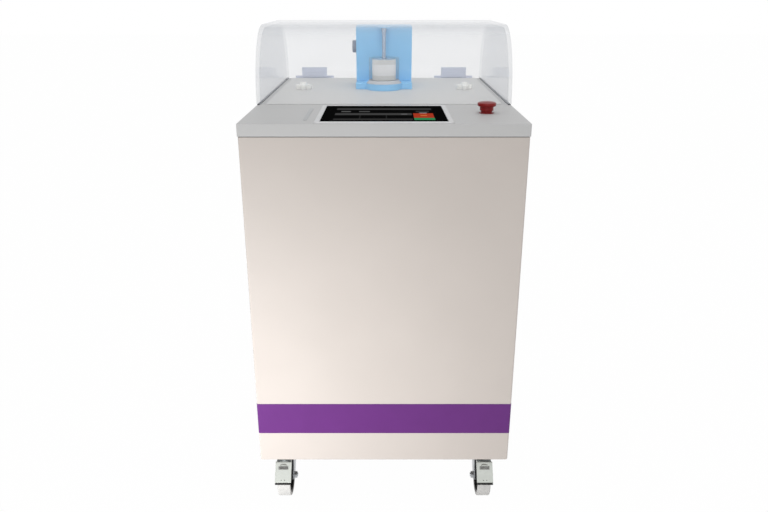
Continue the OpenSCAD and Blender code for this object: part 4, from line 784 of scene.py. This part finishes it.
def makeLiftKnob():
    lo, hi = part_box("lift_knob")
    axis = Vector((lo.x, (lo.y + hi.y) / 2, (lo.z + hi.z) / 2))
    outer, rib, chamfer = (hi.z - lo.z) / 2, liftKnob["ribHeight"] * mm, liftKnob["chamfer"] * mm
    core, length = outer - rib, hi.x - lo.x
    socket, deep = liftKnob["socket"] * mm, length - liftKnob["socketDepth"] * mm
    dish, ring, blend = liftKnob["dish"] * mm, liftKnob["dishRing"] * mm, liftKnob["blend"] * mm
    face = [(0, dish), (core / 2, ring), (core - 2 * chamfer, 0), (core - chamfer / 2, blend)]
    side = [(core, chamfer), (core, length - blend), (core - blend, length)]
    bore = [(socket, length), (socket, deep), (0, deep)]
    bm = bmesh.new()
    lathe(bm, face + side + bore, axis, "X")
    newPiece("liftKnobGrip", bm, materials["knobGrey"], "lift_drive", ("lift_knob",))
    grownPiece("liftKnobRibs", [axis + Vector((length / 2, 0, 0))], ribGroup(), {
        "Ribs": liftKnob["ribs"], "Radius": core, "Length": length - 2 * chamfer,
        "Width": liftKnob["ribWidth"] * mm},
        materials["knobGrey"], "lift_drive")
    made.add("lift_knob")
    print("stage: knobs")


# Brake pedals: stamped sheet with a slot, a pressed brow over it, two small dimples painted black as painted
# shade, and a rubber tip

pedal = {
    "brow": (-30, 58), "tip": (-63, 17),      # mm from the axle, as depth and height
    "browArc": (18.0, 4.2, 1.5),              # mm, width, height and rise of the pressed brow
    "browAt": 5.6,                            # mm from the brow along the face
    "dimples": (8.0, 1.1, 42.0),              # mm, spacing, radius, distance from the brow
    "sheet": 3.0, "padFrom": 50.0,            # mm, and where along the face the rubber tip begins
    "sheetEdge": 0.4, "padEdge": 0.9,         # mm, rounding
    "browSunk": 0.05, "browSteps": (28, 8),
    "dimpleRings": ((1.0, -0.02), (0.85, 0.12), (0.5, 0.2)),  # share of the radius, mm out of the face
    "dimpleSteps": 20, "smooth": 60,
}


def pedalSpot(axle, along, across, out):
    # A point on the pedal's face, in mm along it from its brow, across it, and out of it
    (y0, z0), (y1, z1) = pedal["brow"], pedal["tip"]
    long = math.hypot(y1 - y0, z1 - z0)
    down = Vector((0, (y1 - y0) / long, (z1 - z0) / long))
    proud = Vector((0, down.z, -down.y))
    spot = Vector((0, y0, z0)) + down * along + proud * (pedal["sheet"] / 2 + out)
    return axle + Vector((across, spot.y, spot.z)) * mm


def makePedal(side):
    node, body = "front_" + side + "_pedal", "front_" + side + "_brake"
    lo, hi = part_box("front_" + side + "_tyre")
    axle = (lo + hi) / 2
    split = pedalSpot(axle, pedal["padFrom"], 0, 0).z
    sheet = softenedCopy(node, pedal["sheetEdge"], keep=lambda middle: middle.z > split)
    placePiece(sheet, materials["pedalSteel"], body, (node,))
    bm = bmesh.new()
    wide, tall, rise = pedal["browArc"]
    steps, rows = pedal["browSteps"]
    grid = []
    for r in range(rows + 1):   # half dome, high at its upper edge and cut off straight towards the slot
        lift = math.radians(90 * r / rows)
        reach = math.cos(lift)
        row = []
        for k in range(steps + 1):
            turn = math.radians(180 * k / steps)
            along = pedal["browAt"] + tall / 2 - tall * reach * math.sin(turn)
            across, out = wide / 2 * reach * math.cos(turn), rise * math.sin(lift) - pedal["browSunk"]
            row.append(bm.verts.new(pedalSpot(axle, along, across, out)))
        grid.append(row)
    for low, high in zip(grid, grid[1:]):
        for k in range(steps):
            bm.faces.new((low[k], low[k + 1], high[k + 1], high[k]))
    bmesh.ops.remove_doubles(bm, verts=bm.verts, dist=0.01 * mm)
    newPiece(node + ".brow", bm, materials["pedalSteel"], body, (), pedal["smooth"])

    # The two dimples are drawn in black plastic: painted shade, dark spots that stand for the shade of the
    # pressed dimples in the steel
    bm = bmesh.new()
    spacing, radius, along = pedal["dimples"]
    steps = pedal["dimpleSteps"]
    turns = [math.tau * k / steps for k in range(steps)]
    for across in (-spacing / 2, spacing / 2):
        rings = []
        for size, out in pedal["dimpleRings"]:
            ring = []
            for turn in turns:
                down, aside = along + radius * size * math.sin(turn), across + radius * size * math.cos(turn)
                ring.append(bm.verts.new(pedalSpot(axle, down, aside, out)))
            rings.append(ring)
        for low, high in zip(rings, rings[1:]):
            for k in range(steps):
                bm.faces.new((low[k], low[(k + 1) % steps], high[(k + 1) % steps], high[k]))
        bm.faces.new(rings[-1])
    newPiece(node + ".dimples", bm, materials["blackPlastic"], body, (), pedal["smooth"])

    pad = softenedCopy(node, pedal["padEdge"], keep=lambda middle: middle.z <= split)
    pad.name = node + ".pad"
    placePiece(pad, materials["padRubber"], body)
    made.add(node)


# Rear panel's screws: tapered heads with a hexagon socket

screw = {
    "head": 4.0, "tall": 2.0, "socket": 1.9, "deep": 1.1, "shank": 2.0, "long": 5.3,  # mm
    "crownShare": 0.72,  # of the head's radius, at its top
    "socketRise": 0.45,  # share of the socket's depth that its middle lies below the head's top
    "rearZone": 3.0,     # mm before the rear panel: fasteners behind it are its screws
    "boltEdge": 0.3,     # mm, rounding of the other fasteners
}


def screwGroup():
    tree, given = newGroup("socketScrews", {
        "Head": ("Float", 0.004), "Tall": ("Float", 0.002), "Socket": ("Float", 0.0019),
        "Deep": ("Float", 0.0011),
        "Shank": ("Float", 0.002), "Long": ("Float", 0.0053)})
    crown = addNode(tree, "ShaderNodeMath", {
        0: given.outputs["Head"], 1: screw["crownShare"]}, operation="MULTIPLY")
    head = addNode(tree, "GeometryNodeMeshCone", {
        "Vertices": 40, "Side Segments": 1, "Radius Top": crown.outputs[0],
        "Radius Bottom": given.outputs["Head"], "Depth": given.outputs["Tall"]})
    tool = addNode(tree, "GeometryNodeMeshCylinder", {
        "Vertices": 6, "Radius": given.outputs["Socket"], "Depth": given.outputs["Deep"]})
    rest = addNode(tree, "ShaderNodeMath", {
        0: given.outputs["Deep"], 1: -screw["socketRise"], 2: given.outputs["Tall"]},
        operation="MULTIPLY_ADD")
    lift = addNode(tree, "ShaderNodeCombineXYZ", {"Z": rest.outputs[0]})
    place = addNode(tree, "GeometryNodeTransform", {
        "Geometry": tool.outputs["Mesh"], "Translation": lift.outputs["Vector"]})
    bored = addNode(tree, "GeometryNodeMeshBoolean", {
        "Mesh 1": head.outputs["Mesh"], "Mesh 2": place.outputs["Geometry"]}, operation="DIFFERENCE")
    shank = addNode(tree, "GeometryNodeMeshCylinder", {
        "Vertices": 24, "Radius": given.outputs["Shank"], "Depth": given.outputs["Long"]})
    sink = addNode(tree, "ShaderNodeMath", {0: given.outputs["Long"], 1: -0.5}, operation="MULTIPLY")
    below = addNode(tree, "ShaderNodeCombineXYZ", {"Z": sink.outputs[0]})
    foot = addNode(tree, "GeometryNodeTransform", {
        "Geometry": shank.outputs["Mesh"], "Translation": below.outputs["Vector"]})
    both = addNode(tree, "GeometryNodeJoinGeometry")
    for part in (bored.outputs["Mesh"], foot.outputs["Geometry"]):
        tree.links.new(part, both.inputs["Geometry"])
    screws = addNode(tree, "GeometryNodeInstanceOnPoints", {
        "Points": given.outputs["Geometry"], "Instance": both.outputs["Geometry"],
        "Rotation": (math.radians(-90), 0, 0)})
    closeGroup(tree, screws.outputs["Instances"], materials["zinc"])
    return tree


def makeScrews():
    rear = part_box("rear_panel")[0].y - screw["rearZone"] * mm
    bm = bmesh.new()
    bm.from_mesh(frame["nodes"]["cabinet_fasteners"].data)
    bmesh.ops.remove_doubles(bm, verts=bm.verts, dist=softening["merge"] * mm)
    seats = []
    for part in looseParts(bm):
        spot = middleOf(part)
        if spot.y > rear:
            spot.y = max(v.co.y for face in part for v in face.verts) - screw["tall"] * mm
            seats.append(spot)
    bm.free()
    grownPiece("rearScrews", seats, screwGroup(), {
        "Head": screw["head"] * mm, "Tall": screw["tall"] * mm, "Socket": screw["socket"] * mm,
        "Deep": screw["deep"] * mm, "Shank": screw["shank"] * mm, "Long": screw["long"] * mm},
        materials["zinc"], "cabinet")
    bolts = softenedCopy("cabinet_fasteners", screw["boltEdge"], keep=lambda middle: middle.y <= rear)
    placePiece(bolts, materials["zinc"], "cabinet", ("cabinet_fasteners",))
    made.add("cabinet_fasteners")
    print("stage: screws,", len(seats))


# Transformer windings: one layer of enamelled wire, turn beside turn, over a plain copper core

winding = {
    "wire": 4.0, "corner": 9.0,  # mm
    "coreShare": 0.6,            # of a wire, how far the core lies back
    "skin": 0.2,                 # mm, the core's outer points lie within this of its box
}


def windingGroup():
    tree, given = newGroup("windingTurns", {
        "Width": ("Float", 0.08), "Depth": ("Float", 0.1), "Height": ("Float", 0.11),
        "Wire": ("Float", 0.004),
        "Corner": ("Float", 0.009)})
    loop = addNode(tree, "GeometryNodeCurvePrimitiveQuadrilateral", {
        "Width": given.outputs["Width"], "Height": given.outputs["Depth"]})
    eased = addNode(tree, "GeometryNodeFilletCurve", {
        "Curve": loop.outputs["Curve"], "Radius": given.outputs["Corner"]})
    half = addNode(tree, "ShaderNodeMath", {0: given.outputs["Wire"], 1: 0.5}, operation="MULTIPLY")
    wire = addNode(tree, "GeometryNodeCurvePrimitiveCircle", {"Resolution": 12, "Radius": half.outputs[0]})
    turn = addNode(tree, "GeometryNodeCurveToMesh", {
        "Curve": eased.outputs["Curve"], "Profile Curve": wire.outputs["Curve"]})
    ratio = addNode(tree, "ShaderNodeMath", {
        0: given.outputs["Height"], 1: given.outputs["Wire"]}, operation="DIVIDE")
    count = addNode(tree, "ShaderNodeMath", {0: ratio.outputs[0]}, operation="FLOOR")
    step = addNode(tree, "ShaderNodeCombineXYZ", {"Z": given.outputs["Wire"]})
    first = addNode(tree, "ShaderNodeCombineXYZ", {"Z": half.outputs[0]})
    line = addNode(tree, "GeometryNodeMeshLine", {
        "Count": count.outputs[0], "Start Location": first.outputs["Vector"],
        "Offset": step.outputs["Vector"]})
    turns = addNode(tree, "GeometryNodeInstanceOnPoints", {
        "Points": line.outputs["Mesh"], "Instance": turn.outputs["Mesh"]})
    at = addNode(tree, "GeometryNodeInstanceOnPoints", {
        "Points": given.outputs["Geometry"], "Instance": turns.outputs["Instances"]})
    closeGroup(tree, at.outputs["Instances"], materials["copper"])
    return tree


def makeWindings():
    lo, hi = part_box("transformer_windings")
    wire = winding["wire"] * mm
    grownPiece("windingTurns", [((lo.x + hi.x) / 2, (lo.y + hi.y) / 2, lo.z)], windingGroup(), {
        "Width": hi.x - lo.x - wire, "Depth": hi.y - lo.y - wire, "Height": hi.z - lo.z, "Wire": wire,
        "Corner": winding["corner"] * mm}, materials["copper"], "cabinet")
    core = softenedCopy("transformer_windings", 0)
    for vertex in core.data.vertices:  # the layer below lies back behind the wires
        for k in (0, 1):
            if vertex.co[k] > hi[k] - winding["skin"] * mm:
                vertex.co[k] -= winding["coreShare"] * wire
            elif vertex.co[k] < lo[k] + winding["skin"] * mm:
                vertex.co[k] += winding["coreShare"] * wire
    placePiece(core, materials["copper"], "cabinet", ("transformer_windings",))
    made.add("transformer_windings")
    print("stage: windings")


def dressNodes():
    for node, (finish, edge) in nodeFinish.items():
        for slot in frame["nodes"][node].material_slots:
            slot.material = materials[finish]
        if edge and node not in made:
            piece = softenedCopy(node, edge)
            placePiece(piece, materials[finish], nodeBody(node), (node,))
    print("stage: CAD nodes dressed")


makeCamera()
makeStudio()
makeHood()
makeScreenPicture()
makeStopButton()
makeStarKnob("left_clamp_knob", "left_clamp")
makeStarKnob("right_clamp_knob", "right_clamp")
makeLiftKnob()
makePedal("left")
makePedal("right")
print("stage: pedals")
makeScrews()
makeWindings()
dressNodes()
